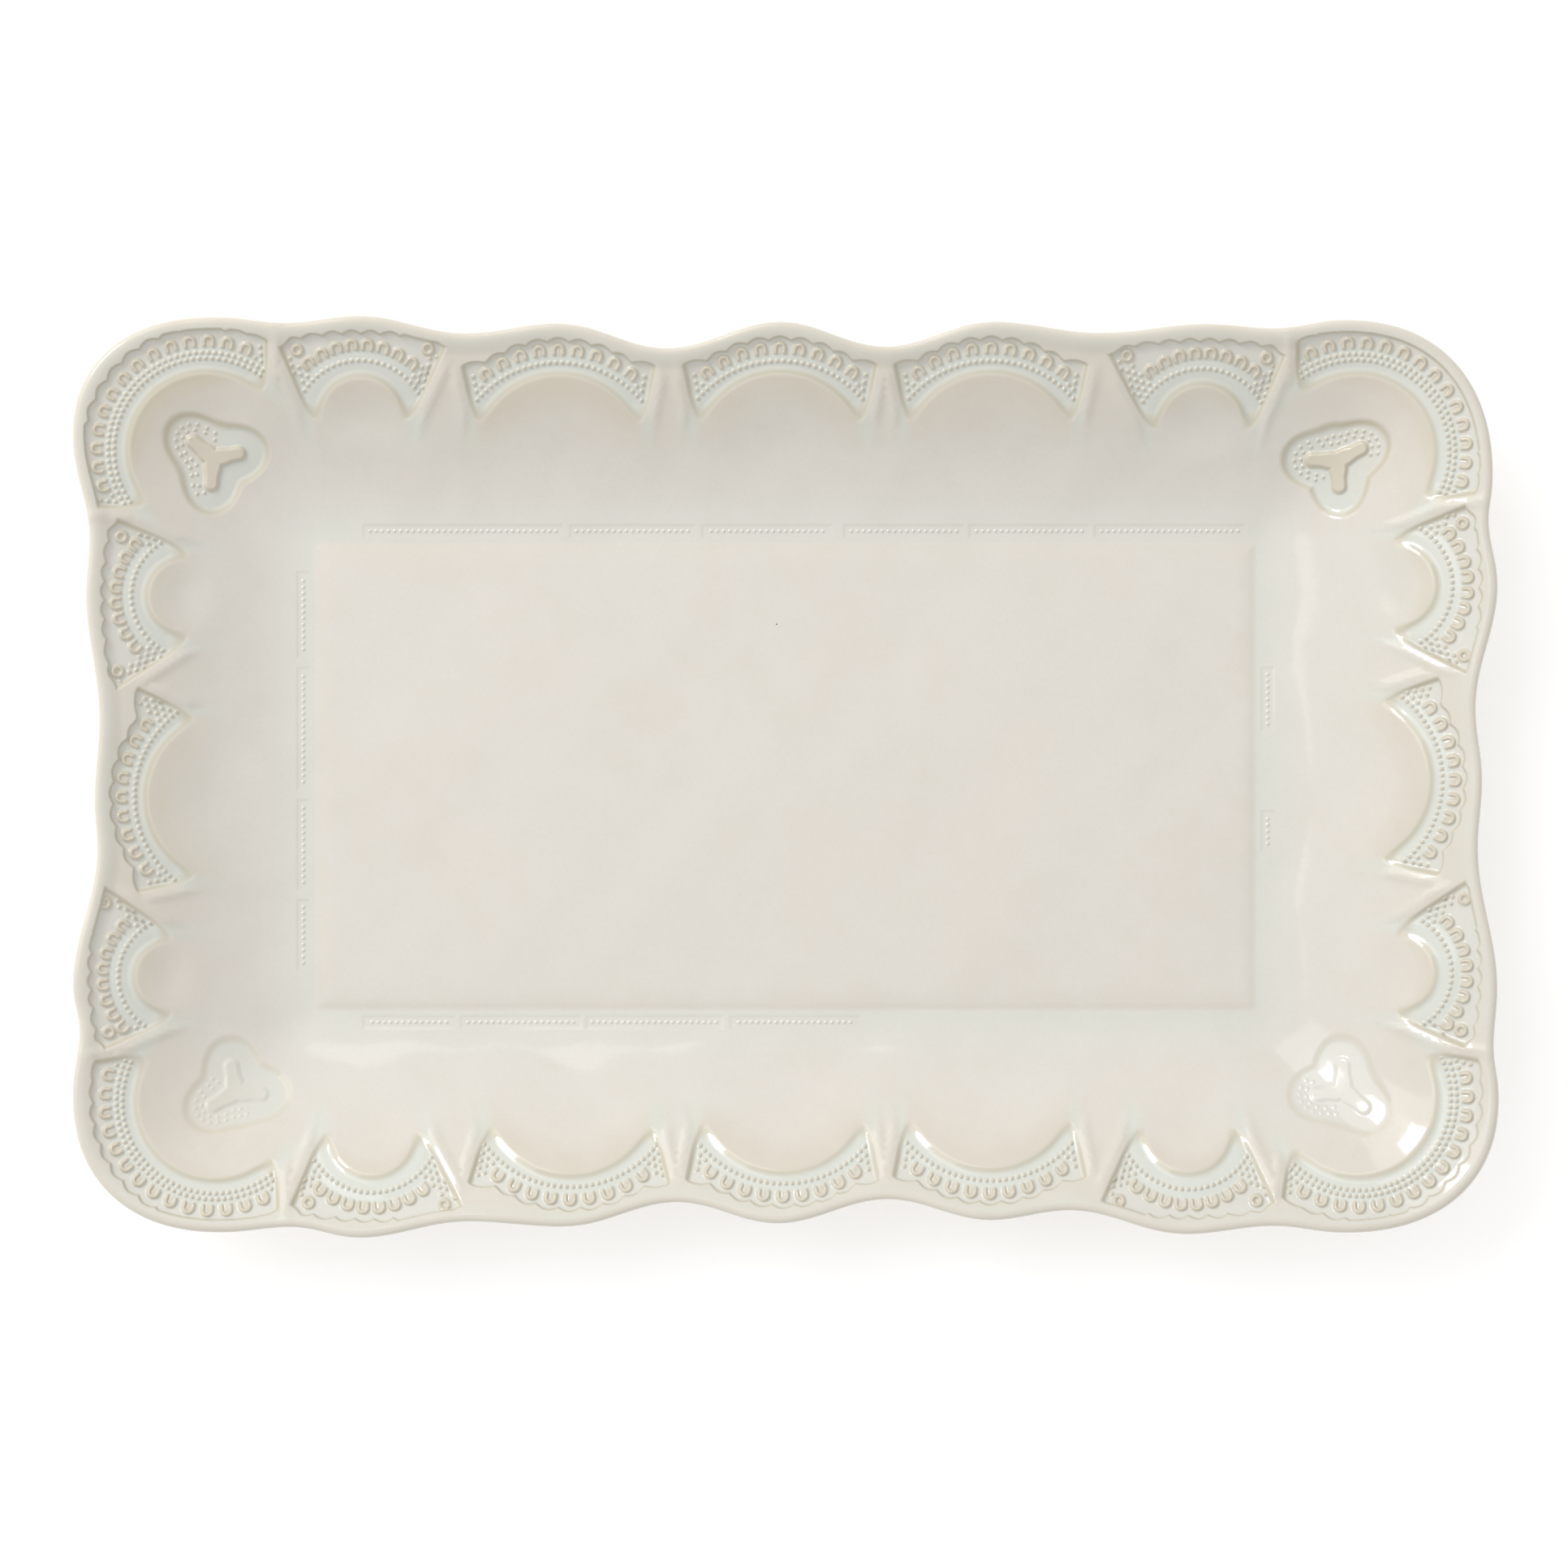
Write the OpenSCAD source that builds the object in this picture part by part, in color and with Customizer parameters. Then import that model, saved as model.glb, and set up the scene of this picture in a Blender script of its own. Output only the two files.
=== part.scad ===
// Rectangular stoneware serving platter with a scalloped, rolled lip, sloping walls,
// a flat floor, a foot ring, and pressed relief: lace fans, trefoils and bead strips.
// Millimetres. +X along the length, +Y across, +Z up. Origin under the centre, on the table.

/* [Platter] */
// Length over the lip, along X
length = 444; // [360:1:560]
// Width over the lip, along Y
width = 287.2; // [230:0.1:360]
// Height of the lip above the table, at a peak of a long side
height = 41; // [32:0.5:60]
// Thickness of the floor and the wall
wall = 5.5; // [4:0.1:8]
// Reach of a rounded corner along a long side
corner_reach_x = 45; // [35:1:60]
// Reach of a rounded corner along a short side
corner_reach_y = 37; // [30:1:50]

/* [Wall] */
// Level run of the wall from the floor's edge to the lip, at the two ends
end_run = 76; // [60:1:95]
// Level run of the wall from the floor's edge to the lip, at the two long sides
side_run = 72; // [60:1:90]
// How much the wall flattens again towards the lip
flare = 1.3; // [0.6:0.05:1.5]
// Rounding of the floor's corners
floor_r = 4; // [2:0.5:15]

/* [Lip] */
// Width of the rolled lip
lip_w = 4.8; // [3.5:0.1:7]
// Rise of the lip above the wall's slope
lip_rise = 0.9; // [0.3:0.1:2]
// Thickness of the lip
lip_t = 4.6; // [3.5:0.1:6]

/* [Foot ring] */
// Height of the foot ring
foot_h = 3; // [2:0.1:6]
// Width of the foot ring's flat
foot_w = 7; // [4:0.5:10]
// Distance from the floor's edge out to the foot ring's outer side
foot_out = 2; // [0:0.5:5]
// Rounding of the foot ring's outer corners
foot_r = 14; // [9:1:25]

/* [Lace fans] */
// Depth of a large fan from its inner arc to its scalloped edge
large_depth = 11; // [8:0.5:13]
// Depth of a small fan
small_depth = 14.5; // [10:0.5:16]
// Extra half width of a small fan beside its arc
small_cheek = 11; // [8:0.5:13]
// Inner radius of a corner fan
corner_arc_r = 27; // [22:0.5:29]
// Depth of a corner fan
corner_depth = 11.5; // [8:0.5:13]
// Height of the scallops on the outer edge
scallop_h = 0.8; // [0.3:0.1:1.2]
// Width left at the pointed ends of a fan
tip_w = 0.9; // [0.6:0.1:2]
// Ridge left between a corner fan and the next fan along a side
fan_ridge = 1; // [0.5:0.1:3]

/* [Sprigs] */
// How far a sprig stands above the clay under it
sprig_h = 0.7; // [0.4:0.1:1.5]
// How deep a sprig is luted into the clay under it
lute = 0.5; // [0.3:0.1:1]
// Reach of a trefoil's lobes from its centre
trefoil_reach = 18.5; // [14:0.5:19]
// Reach of the notches between a trefoil's lobes
trefoil_notch = 11.5; // [9:0.5:12]
// Reach of the arms of a trefoil's raised island
island_reach = 10; // [7:0.5:12]
// Width of the island's arms
island_w = 4.5; // [3:0.5:6]
// Height of the island above its trefoil
island_h = 0.8; // [0.4:0.1:1.2]
// Width of a bead strip
strip_w = 4; // [3:0.5:5]
// Gap between the floor's edge and a bead strip
strip_gap = 3.6; // [3:0.1:5]
// Spacing of the beads along a strip
bead_pitch = 1.95; // [1.8:0.05:3]
// Diameter of a bead
bead_d = 1.3; // [0.8:0.1:1.5]
// Height of a bead above its strip
bead_h = 0.4; // [0.2:0.1:0.8]

/* [Hidden] */

glaze = [0.90, 0.88, 0.83];
lace_glaze = [0.84, 0.85, 0.79];
raw_clay = [0.80, 0.72, 0.62];

floor_len = length - 2 * end_run;
floor_wid = width - 2 * side_run;
floor_z = foot_h + wall;
straight_x = length / 2 - corner_reach_x;
straight_y = width / 2 - corner_reach_y;

// Sides, numbered counter-clockwise from +X
RIGHT = 0;
TOP = 1;
LEFT = 2;
BOTTOM = 3;

// The lip's edge on each side: peaks and valleys in turn, each as
// [place along the side from -1 to 1, distance in from the outermost line]
edge_knots = [
    [[-0.93, 0], [-0.79, 1.5], [-0.62, 0.4], [-0.21, 6.3], [-0.01, 5], [0.20, 7],
     [0.56, 0.3], [0.75, 3], [0.87, 1.8]],
    [[-1, 0.4], [-0.88, 2.1], [-0.75, 0], [-0.565, 5.3], [-0.40, 2.3], [-0.21, 9.9], [-0.01, 1.8],
     [0.175, 9.4], [0.365, 1.8], [0.555, 5.2], [0.74, 2.5], [0.86, 3.8], [0.98, 1.3]],
    [[-0.92, 0], [-0.74, 2], [-0.61, 0], [-0.21, 7.4], [-0.07, 6.6], [0.17, 8],
     [0.535, 4], [0.70, 5], [0.99, 0]],
    [[-0.99, 1.7], [-0.87, 3.3], [-0.75, 0], [-0.56, 5], [-0.39, 3.4], [-0.19, 10.9], [-0.015, 4.4],
     [0.18, 11.8], [0.36, 5.4], [0.50, 8.4], [0.705, 1.1], [0.86, 3.6], [0.98, 1.6]]
];
knot_steps = 4;
corner_steps = 10;
// Exponent of the corners' superellipse, a little squarer than a circle
corner_power = 2.3;

// Lace fans on the sides: [side, place along the side, half width as a share of it, kind, scallops]
LARGE = 0;
SMALL = 1;
fan_rows = [
    [TOP, -0.75, 0.152, SMALL, 7], [TOP, -0.40, 0.175, LARGE, 9], [TOP, -0.01, 0.175, LARGE, 9],
    [TOP, 0.362, 0.175, LARGE, 9], [TOP, 0.735, 0.155, SMALL, 7],
    [BOTTOM, -0.73, 0.152, SMALL, 7], [BOTTOM, -0.38, 0.175, LARGE, 9], [BOTTOM, -0.005, 0.175, LARGE, 9],
    [BOTTOM, 0.36, 0.175, LARGE, 9], [BOTTOM, 0.71, 0.155, SMALL, 7],
    [LEFT, 0.53, 0.24, SMALL, 6], [LEFT, -0.06, 0.285, LARGE, 9], [LEFT, -0.585, 0.23, SMALL, 6],
    [RIGHT, 0.56, 0.25, SMALL, 7], [RIGHT, -0.01, 0.285, LARGE, 9], [RIGHT, -0.575, 0.235, SMALL, 7]
];
// Angles from a fan's outward line to its shoulders and to its tips
shoulder_a = [43, 44];
tip_a = [59, 80];
// Corner fans: [X sign, Y sign, centre in from the outermost lines in X and Y]
corner_rows = [[1, 1, 44, 42.5], [-1, 1, 41.5, 42], [-1, -1, 44, 42.5], [1, -1, 43.5, 43.5]];
// How far a corner fan's shoulders stand out past its arc, and the angle from a shoulder to its tip
corner_shoulder_out = 1;
corner_tip_a = 14;
corner_scallops = 14;
columns_per_scallop = 4;
columns_per_cheek = 3;

// Trefoils: [centre in from the outermost lines in X and Y, turn of the first lobe]
trefoil_rows = [[49, 46, 50], [44, 46, 130], [50, 46.5, 100], [50, 46.5, 80]];
trefoil_columns = 48;

// Bead strips along each side: [from, to], as shares of half the floor's edge there
strip_rows = [
    [[-0.33, -0.15], [0.20, 0.48]],
    [[-0.91, -0.48], [-0.465, -0.195], [-0.18, 0.10], [0.125, 0.385], [0.395, 0.655], [0.665, 0.99]],
    [[-0.85, -0.54], [-0.50, -0.10], [-0.06, 0.48], [0.52, 0.90]],
    [[-0.91, -0.71], [-0.70, -0.44], [-0.43, -0.135], [-0.12, 0.16]]
];

// Rings of the body from the floor's edge to the lip, as shares of the wall's run
wall_rings = [0, 0.12, 0.25, 0.38, 0.51, 0.64, 0.76, 0.87];
// Rings of the underside from the lip back to the base
under_rings = [0.82, 0.65, 0.48, 0.3];
// Where the base's flat ends, as a share of the wall's run
base_edge = 0.1;

function ease(f) = (1 - cos(180 * f)) / 2;
function mix(a, b, f) = a + (b - a) * f;
function clamp01(f) = max(0, min(1, f));
function half_len(side) = side % 2 == 0 ? length / 2 : width / 2;
function straight(side) = side % 2 == 0 ? straight_y : straight_x;

// A point u along a side and d in from that side's outermost line
function side_point(side, u, d) =
    side == RIGHT ? [length / 2 - d, u] :
    side == TOP ? [u, width / 2 - d] :
    side == LEFT ? [-length / 2 + d, u] : [u, -width / 2 + d];

// Height of the upper surface of the wall and floor, without the lip
function wall_share(x, y) =
    let (dx = max(abs(x) - floor_len / 2, 0) / end_run, dy = max(abs(y) - floor_wid / 2, 0) / side_run)
    pow(pow(dx, 3) + pow(dy, 3), 1 / 3);
function rise(t) = (1 + flare) * t * t - flare * t * t * t;
function top_z(x, y) = floor_z + (height - lip_rise - floor_z) * rise(min(wall_share(x, y), 1.1));
// Steepness of the wall at a share of its run
function steepness(t) = (height - floor_z) / side_run * (2 * (1 + flare) * t - 3 * flare * t * t);
function under_z(x, y) =
    let (s = steepness(min(wall_share(x, y), 1)))
    top_z(x, y) - wall * sqrt(1 + s * s);

// Distance in from the outermost line, at a place along a side
function knot_inset(side, place) =
    let (knots = edge_knots[side], last = len(knots) - 1)
    let (inside = [for (i = [0 : last - 1]) if (place >= knots[i][0] && place <= knots[i + 1][0]) i])
    let (i = inside[0], f = (place - knots[i][0]) / (knots[i + 1][0] - knots[i][0]))
    mix(knots[i][1], knots[i + 1][1], ease(f));

// Stations round the platter: each is [point on the lip's edge, point on the floor's edge]
function side_station(side, place, inset) =
    let (u = place * straight(side), floor_half = (side % 2 == 0 ? floor_wid : floor_len) / 2 - floor_r)
    let (run = side % 2 == 0 ? end_run : side_run)
    [side_point(side, u, inset), side_point(side, place * floor_half, run)];
function side_stations(side, forward) =
    let (knots = edge_knots[side], n = len(knots) - 1)
    [for (k = [0 : n - 1], i = [0 : knot_steps - 1])
        let (a = forward ? k : n - k, b = forward ? k + 1 : n - k - 1, f = i / knot_steps)
        side_station(side, mix(knots[a][0], knots[b][0], f), mix(knots[a][1], knots[b][1], ease(f)))];
function end_station(side, forward) =
    let (knots = edge_knots[side], knot = knots[forward ? len(knots) - 1 : 0])
    side_station(side, knot[0], knot[1]);
function corner_stations(side, forward, next_side, next_forward) =
    let (a = end_station(side, forward), b = end_station(next_side, !next_forward))
    let (c = [side % 2 == 0 ? b[0][0] : a[0][0], side % 2 == 0 ? a[0][1] : b[0][1]])
    let (sx = sign(c[0]), sy = sign(c[1]))
    let (hub = [sx * (floor_len / 2 - floor_r), sy * (floor_wid / 2 - floor_r)], from = 90 * side)
    [for (i = [0 : corner_steps - 1])
        let (g = 90 * i / corner_steps, k = 2 / corner_power)
        [c + (a[0] - c) * pow(cos(g), k) + (b[0] - c) * pow(sin(g), k),
         hub + floor_r * [cos(from + g), sin(from + g)]]];
stations = concat(
    side_stations(RIGHT, true), corner_stations(RIGHT, true, TOP, false),
    side_stations(TOP, false), corner_stations(TOP, false, LEFT, false),
    side_stations(LEFT, false), corner_stations(LEFT, false, BOTTOM, true),
    side_stations(BOTTOM, true), corner_stations(BOTTOM, true, RIGHT, true));

function lift(p, z) = [p[0], p[1], z];
function wall_ring(t) = [for (s = stations) let (p = mix(s[1], s[0], t)) lift(p, top_z(p[0], p[1]))];
function under_ring(t) = [for (s = stations) let (p = mix(s[1], s[0], t)) lift(p, under_z(p[0], p[1]))];
// A ring d in from the lip's edge and dz above the wall's slope
function lip_ring(d, dz) =
    [for (s = stations)
        let (in = s[1] - s[0], p = s[0] + in * d / norm(in))
        lift(p, top_z(p[0], p[1]) + dz)];
body_rings = concat(
    [for (t = wall_rings) wall_ring(t)],
    [lip_ring(lip_w, 0), lip_ring(lip_w * 0.55, lip_rise), lip_ring(lip_w * 0.2, lip_rise * 0.4),
     lip_ring(0, -lip_t * 0.4), lip_ring(lip_w * 0.2, -lip_t * 0.85)],
    [for (t = under_rings) under_ring(t)],
    [[for (s = stations) lift(mix(s[1], s[0], base_edge), foot_h)]]);

// A closed loft through m rings of n points, with a pole above the first and one below the last
function loft_points(rings, top_pole, low_pole) = concat([for (ring = rings, p = ring) p], [top_pole, low_pole]);
function loft_faces(m, n) = concat(
    [for (i = [0 : n - 1]) [m * n, (i + 1) % n, i]],
    [for (i = [0 : n - 1]) [m * n + 1, (m - 1) * n + i, (m - 1) * n + (i + 1) % n]],
    [for (k = [0 : m - 2], i = [0 : n - 1])
        let (a = k * n + i, b = k * n + (i + 1) % n) [a, b, b + n]],
    [for (k = [0 : m - 2], i = [0 : n - 1])
        let (a = k * n + i, b = k * n + (i + 1) % n) [a, b + n, a + n]]);

// Triangles of a closed slab: a grid of ni by nk points above, and the same again below
function slab_faces(ni, nk) =
    let (low = ni * nk)
    let (rim = concat([for (i = [0 : ni - 1]) i * nk], [for (k = [1 : nk - 1]) (ni - 1) * nk + k],
                      [for (i = [ni - 2 : -1 : 0]) i * nk + nk - 1], [for (k = [nk - 2 : -1 : 1]) k]))
    concat(
        [for (i = [0 : ni - 2], k = [0 : nk - 2], h = [0, 1])
            let (a = i * nk + k, b = a + nk) h == 0 ? [a, b + 1, a + 1] : [a, b, b + 1]],
        [for (i = [0 : ni - 2], k = [0 : nk - 2], h = [0, 1])
            let (a = low + i * nk + k, b = a + nk) h == 0 ? [a, a + 1, b + 1] : [a, b + 1, b]],
        [for (j = [0 : len(rim) - 1], h = [0, 1])
            let (a = rim[j], b = rim[(j + 1) % len(rim)])
            h == 0 ? [a, b + low, b] : [a, a + low, b + low]]);

// Radius where the ray at angle a meets the line between two points given as [radius, angle]
function line_r(a, p, q) =
    p[0] * q[0] * sin(q[1] - p[1]) / (p[0] * sin(a - p[1]) + q[0] * sin(q[1] - a));

// Outer edge of a fan at an angle from its outward line. arcs = [inner radius, outer radius],
// ends = [[shoulder radius, shoulder angle], [tip radius, tip angle]]
function fan_edge_r(a, arcs, ends, scallop_a) =
    let (b = abs(a), shoulder = ends[0])
    b > shoulder[1] ? line_r(b, shoulder, ends[1]) :
    let (up = ease(clamp01((b / shoulder[1] - 0.7) / 0.3)))
    arcs[1] + (shoulder[0] - arcs[1]) * up - scallop_h * (1 - up) * (1 - abs(cos(180 * a / scallop_a)));

// Outlines of a trefoil and of its island, at an angle from the first lobe
function trefoil_r(a) = mix(trefoil_notch, trefoil_reach, (1 + cos(3 * a)) / 2);
function island_r(a) =
    let (b = abs((a + 420) % 120 - 60))
    island_w / 2 / max(sin(b), island_w / 2 / island_reach);

// Angles of a fan's columns, from the tip at its low end to the tip at its high end
function fan_angles(low_end, high_end, scallops) =
    let (n = scallops * columns_per_scallop, m = columns_per_cheek)
    concat(
        [for (i = [0 : m - 1]) -mix(low_end[1][1], low_end[0][1], i / m)],
        [for (i = [0 : n]) mix(-low_end[0][1], high_end[0][1], i / n)],
        [for (i = [1 : m]) mix(high_end[0][1], high_end[1][1], i / m)]);

// A fan of lace: a thin sprig that follows the wall's surface
module lace_fan(centre, outward, arcs, low_end, high_end, scallops) {
    span = low_end[0][1] + high_end[0][1];
    columns = fan_angles(low_end, high_end, scallops);
    plan = [
        for (a = columns, share = [0, 0.5, 1])
            let (edge = fan_edge_r(a, arcs, a < 0 ? low_end : high_end, span / scallops))
            let (r = mix(arcs[0], max(edge, arcs[0] + tip_w), share), g = outward + a)
            centre + r * [cos(g), sin(g)]
    ];
    points = concat(
        [for (p = plan) lift(p, top_z(p[0], p[1]) + sprig_h)],
        [for (p = plan) lift(p, top_z(p[0], p[1]) - lute)]);
    color(lace_glaze) polyhedron(points, slab_faces(len(columns), 3), convexity = 4);
}

module side_fan(row) {
    side = row[0];
    kind = row[3];
    half_w = row[2] * straight(side);
    arc_r = kind == LARGE ? half_w : half_w - small_cheek;
    outer_r = arc_r + (kind == LARGE ? large_depth : small_depth);
    depth = knot_inset(side, row[1]) + lip_w + outer_r;
    centre = side_point(side, row[1] * straight(side), depth);
    end = [[half_w / sin(shoulder_a[kind]), shoulder_a[kind]], [arc_r + tip_w, tip_a[kind]]];
    lace_fan(centre, 90 * side, [arc_r, outer_r], end, end, row[4]);
}

// How far the last fan of a side reaches along it, towards its low (-1) or high (1) end
function fan_end(side, way) =
    straight(side) * max([for (row = fan_rows) if (row[0] == side) way * row[1] + row[2]]);

// One end of a corner fan: its shoulder stops a ridge short of the next fan along that side
function corner_end(side, way, centre_u) =
    let (shoulder_r = corner_arc_r + corner_depth + corner_shoulder_out)
    let (shoulder_a = 45 + asin((centre_u - fan_end(side, way) - fan_ridge) / shoulder_r))
    [[shoulder_r, shoulder_a], [corner_arc_r + tip_w, shoulder_a + corner_tip_a]];

module corner_fan(i) {
    row = corner_rows[i];
    outer_r = corner_arc_r + corner_depth;
    centre_x = length / 2 - row[2];
    centre_y = width / 2 - row[3];
    centre = [row[0] * centre_x, row[1] * centre_y];
    to_long = corner_end(row[1] > 0 ? TOP : BOTTOM, row[0], centre_x);
    to_short = corner_end(row[0] > 0 ? RIGHT : LEFT, row[1], centre_y);
    // Going counter-clockwise, corners 1 and 3 end at a long side and corners 2 and 4 at a short side
    low = i % 2 == 0 ? to_short : to_long;
    high = i % 2 == 0 ? to_long : to_short;
    lace_fan(centre, 45 + 90 * i, [corner_arc_r, outer_r], low, high, corner_scallops);
}

module platter_body() {
    points = loft_points(body_rings, [0, 0, floor_z], [0, 0, foot_h]);
    color(glaze) polyhedron(points, loft_faces(len(body_rings), len(stations)), convexity = 6);
}

module rounded_plan(l, w, r) {
    square([l - 2 * r, w], center = true);
    square([l, w - 2 * r], center = true);
    for (x = [-1, 1], y = [-1, 1])
        translate([x * (l / 2 - r), y * (w / 2 - r)])
            circle(r = r, $fn = 64);
}

module foot_ring() {
    outer_l = floor_len + 2 * foot_out;
    outer_w = floor_wid + 2 * foot_out;
    color(raw_clay)
        linear_extrude(foot_h)
            difference() {
                rounded_plan(outer_l, outer_w, foot_r);
                rounded_plan(outer_l - 2 * foot_w, outer_w - 2 * foot_w, foot_r - foot_w);
            }
}

// A three-lobed plate with a raised three-armed island, pressed to the corner's hollow
module trefoil(i) {
    row = trefoil_rows[i];
    signs = corner_rows[i];
    centre = [signs[0] * (length / 2 - row[0]), signs[1] * (width / 2 - row[1])];
    middle_z = top_z(centre[0], centre[1]);
    columns = [for (k = [0 : trefoil_columns - 1]) 360 * k / trefoil_columns];
    // A ring between the plate's outline and the island's, dz above the wall's slope
    function ring(plate_share, island_share, dz) =
        [for (a = columns)
            let (r = plate_share * trefoil_r(a - row[2]) + island_share * island_r(a - row[2]))
            let (p = centre + r * [cos(a), sin(a)])
            lift(p, top_z(p[0], p[1]) + dz)];
    rings = [
        ring(0, 0.4, sprig_h + island_h), ring(0, 0.85, sprig_h + island_h), ring(0.03, 1, sprig_h),
        ring(0.5, 0.5, sprig_h), ring(0.97, 0, sprig_h), ring(1, 0, sprig_h / 2),
        ring(1, 0, -lute), ring(0.5, 0, -lute)
    ];
    points = loft_points(rings, lift(centre, middle_z + sprig_h + island_h), lift(centre, middle_z - lute));
    color(lace_glaze) polyhedron(points, loft_faces(len(rings), trefoil_columns), convexity = 4);
}

// A narrow strip with a row of beads, on the trough just outside the floor's edge
module bead_strip(side, span) {
    floor_half = (side % 2 == 0 ? floor_wid : floor_len) / 2;
    run = side % 2 == 0 ? end_run : side_run;
    from = span[0] * floor_half;
    strip_l = (span[1] - span[0]) * floor_half;
    beads = max(1, floor(strip_l / bead_pitch) - 1);
    middle = side_point(side, from + strip_l / 2, run - strip_gap - strip_w / 2);
    color(lace_glaze)
        translate(lift(middle, floor_z - lute))
            rotate([0, 0, side % 2 == 0 ? 90 : 0]) {
                translate([-strip_l / 2, -strip_w / 2, 0])
                    cube([strip_l, strip_w, lute + sprig_h]);
                for (k = [0 : beads - 1])
                    translate([(k - (beads - 1) / 2) * bead_pitch, 0, 0])
                        cylinder(d = bead_d, h = lute + sprig_h + bead_h, $fn = 24);
            }
}

platter_body();
foot_ring();
side_fan(fan_rows[0]);  // lace_top_1
side_fan(fan_rows[1]);  // lace_top_2
side_fan(fan_rows[2]);  // lace_top_3
side_fan(fan_rows[3]);  // lace_top_4
side_fan(fan_rows[4]);  // lace_top_5
side_fan(fan_rows[5]);  // lace_bottom_1
side_fan(fan_rows[6]);  // lace_bottom_2
side_fan(fan_rows[7]);  // lace_bottom_3
side_fan(fan_rows[8]);  // lace_bottom_4
side_fan(fan_rows[9]);  // lace_bottom_5
side_fan(fan_rows[10]);  // lace_left_1
side_fan(fan_rows[11]);  // lace_left_2
side_fan(fan_rows[12]);  // lace_left_3
side_fan(fan_rows[13]);  // lace_right_1
side_fan(fan_rows[14]);  // lace_right_2
side_fan(fan_rows[15]);  // lace_right_3
corner_fan(0);  // lace_corner_1
corner_fan(1);  // lace_corner_2
corner_fan(2);  // lace_corner_3
corner_fan(3);  // lace_corner_4
trefoil(0);  // trefoil_1
trefoil(1);  // trefoil_2
trefoil(2);  // trefoil_3
trefoil(3);  // trefoil_4
bead_strip(TOP, strip_rows[TOP][0]);  // bead_top_1
bead_strip(TOP, strip_rows[TOP][1]);  // bead_top_2
bead_strip(TOP, strip_rows[TOP][2]);  // bead_top_3
bead_strip(TOP, strip_rows[TOP][3]);  // bead_top_4
bead_strip(TOP, strip_rows[TOP][4]);  // bead_top_5
bead_strip(TOP, strip_rows[TOP][5]);  // bead_top_6
bead_strip(BOTTOM, strip_rows[BOTTOM][0]);  // bead_bottom_1
bead_strip(BOTTOM, strip_rows[BOTTOM][1]);  // bead_bottom_2
bead_strip(BOTTOM, strip_rows[BOTTOM][2]);  // bead_bottom_3
bead_strip(BOTTOM, strip_rows[BOTTOM][3]);  // bead_bottom_4
bead_strip(LEFT, strip_rows[LEFT][0]);  // bead_left_1
bead_strip(LEFT, strip_rows[LEFT][1]);  // bead_left_2
bead_strip(LEFT, strip_rows[LEFT][2]);  // bead_left_3
bead_strip(LEFT, strip_rows[LEFT][3]);  // bead_left_4
bead_strip(RIGHT, strip_rows[RIGHT][0]);  // bead_right_1
bead_strip(RIGHT, strip_rows[RIGHT][1]);  // bead_right_2
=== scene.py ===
"""A scalloped stoneware serving platter: glazed body, bare foot ring and pressed lace relief."""

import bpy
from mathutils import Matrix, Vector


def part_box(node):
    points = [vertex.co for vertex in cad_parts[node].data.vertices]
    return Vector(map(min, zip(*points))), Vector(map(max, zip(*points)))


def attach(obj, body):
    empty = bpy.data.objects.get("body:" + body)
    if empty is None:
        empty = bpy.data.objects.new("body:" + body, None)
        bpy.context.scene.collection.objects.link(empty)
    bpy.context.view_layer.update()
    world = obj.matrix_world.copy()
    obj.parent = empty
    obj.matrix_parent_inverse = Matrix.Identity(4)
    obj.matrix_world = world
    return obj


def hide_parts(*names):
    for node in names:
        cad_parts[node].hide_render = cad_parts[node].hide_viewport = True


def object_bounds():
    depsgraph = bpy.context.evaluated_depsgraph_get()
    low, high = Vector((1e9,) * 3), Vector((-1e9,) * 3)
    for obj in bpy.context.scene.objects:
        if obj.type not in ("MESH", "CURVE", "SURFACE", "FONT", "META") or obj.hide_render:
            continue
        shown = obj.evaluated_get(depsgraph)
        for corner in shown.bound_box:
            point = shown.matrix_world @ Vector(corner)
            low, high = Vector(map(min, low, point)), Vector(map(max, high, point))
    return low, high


bl_info = {
    "name": "Stoneware Serving Platter",
    "version": (1, 0, 0),
    "blender": (4, 5, 0),
    "location": "3D View > Sidebar > Platter",
    "description": "Builds a glazed serving platter with lace relief around its packed frame",
    "category": "Object",
}

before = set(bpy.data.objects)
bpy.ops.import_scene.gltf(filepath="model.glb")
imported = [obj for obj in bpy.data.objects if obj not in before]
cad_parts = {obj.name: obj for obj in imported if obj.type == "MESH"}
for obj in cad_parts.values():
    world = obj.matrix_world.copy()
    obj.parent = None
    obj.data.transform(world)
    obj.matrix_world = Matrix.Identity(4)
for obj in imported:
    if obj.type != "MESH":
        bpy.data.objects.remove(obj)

import math
from collections import namedtuple
from functools import lru_cache

import bpy
import numpy as np
from bpy.props import FloatProperty, FloatVectorProperty, IntProperty, PointerProperty
from mathutils import Vector
from mathutils.geometry import delaunay_2d_cdt

CAD_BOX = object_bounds()

MM = 0.001
LARGE, SMALL, CORNER = "large", "small", "corner"
OUTWARD = {"right": 0, "top": 90, "left": 180, "bottom": 270}
SIDE_FANS = {
    "top": (SMALL, LARGE, LARGE, LARGE, SMALL),
    "bottom": (SMALL, LARGE, LARGE, LARGE, SMALL),
    "left": (SMALL, LARGE, SMALL),
    "right": (SMALL, LARGE, SMALL),
}
STRIP_COUNTS = {"top": 6, "bottom": 4, "left": 4, "right": 2}

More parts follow.
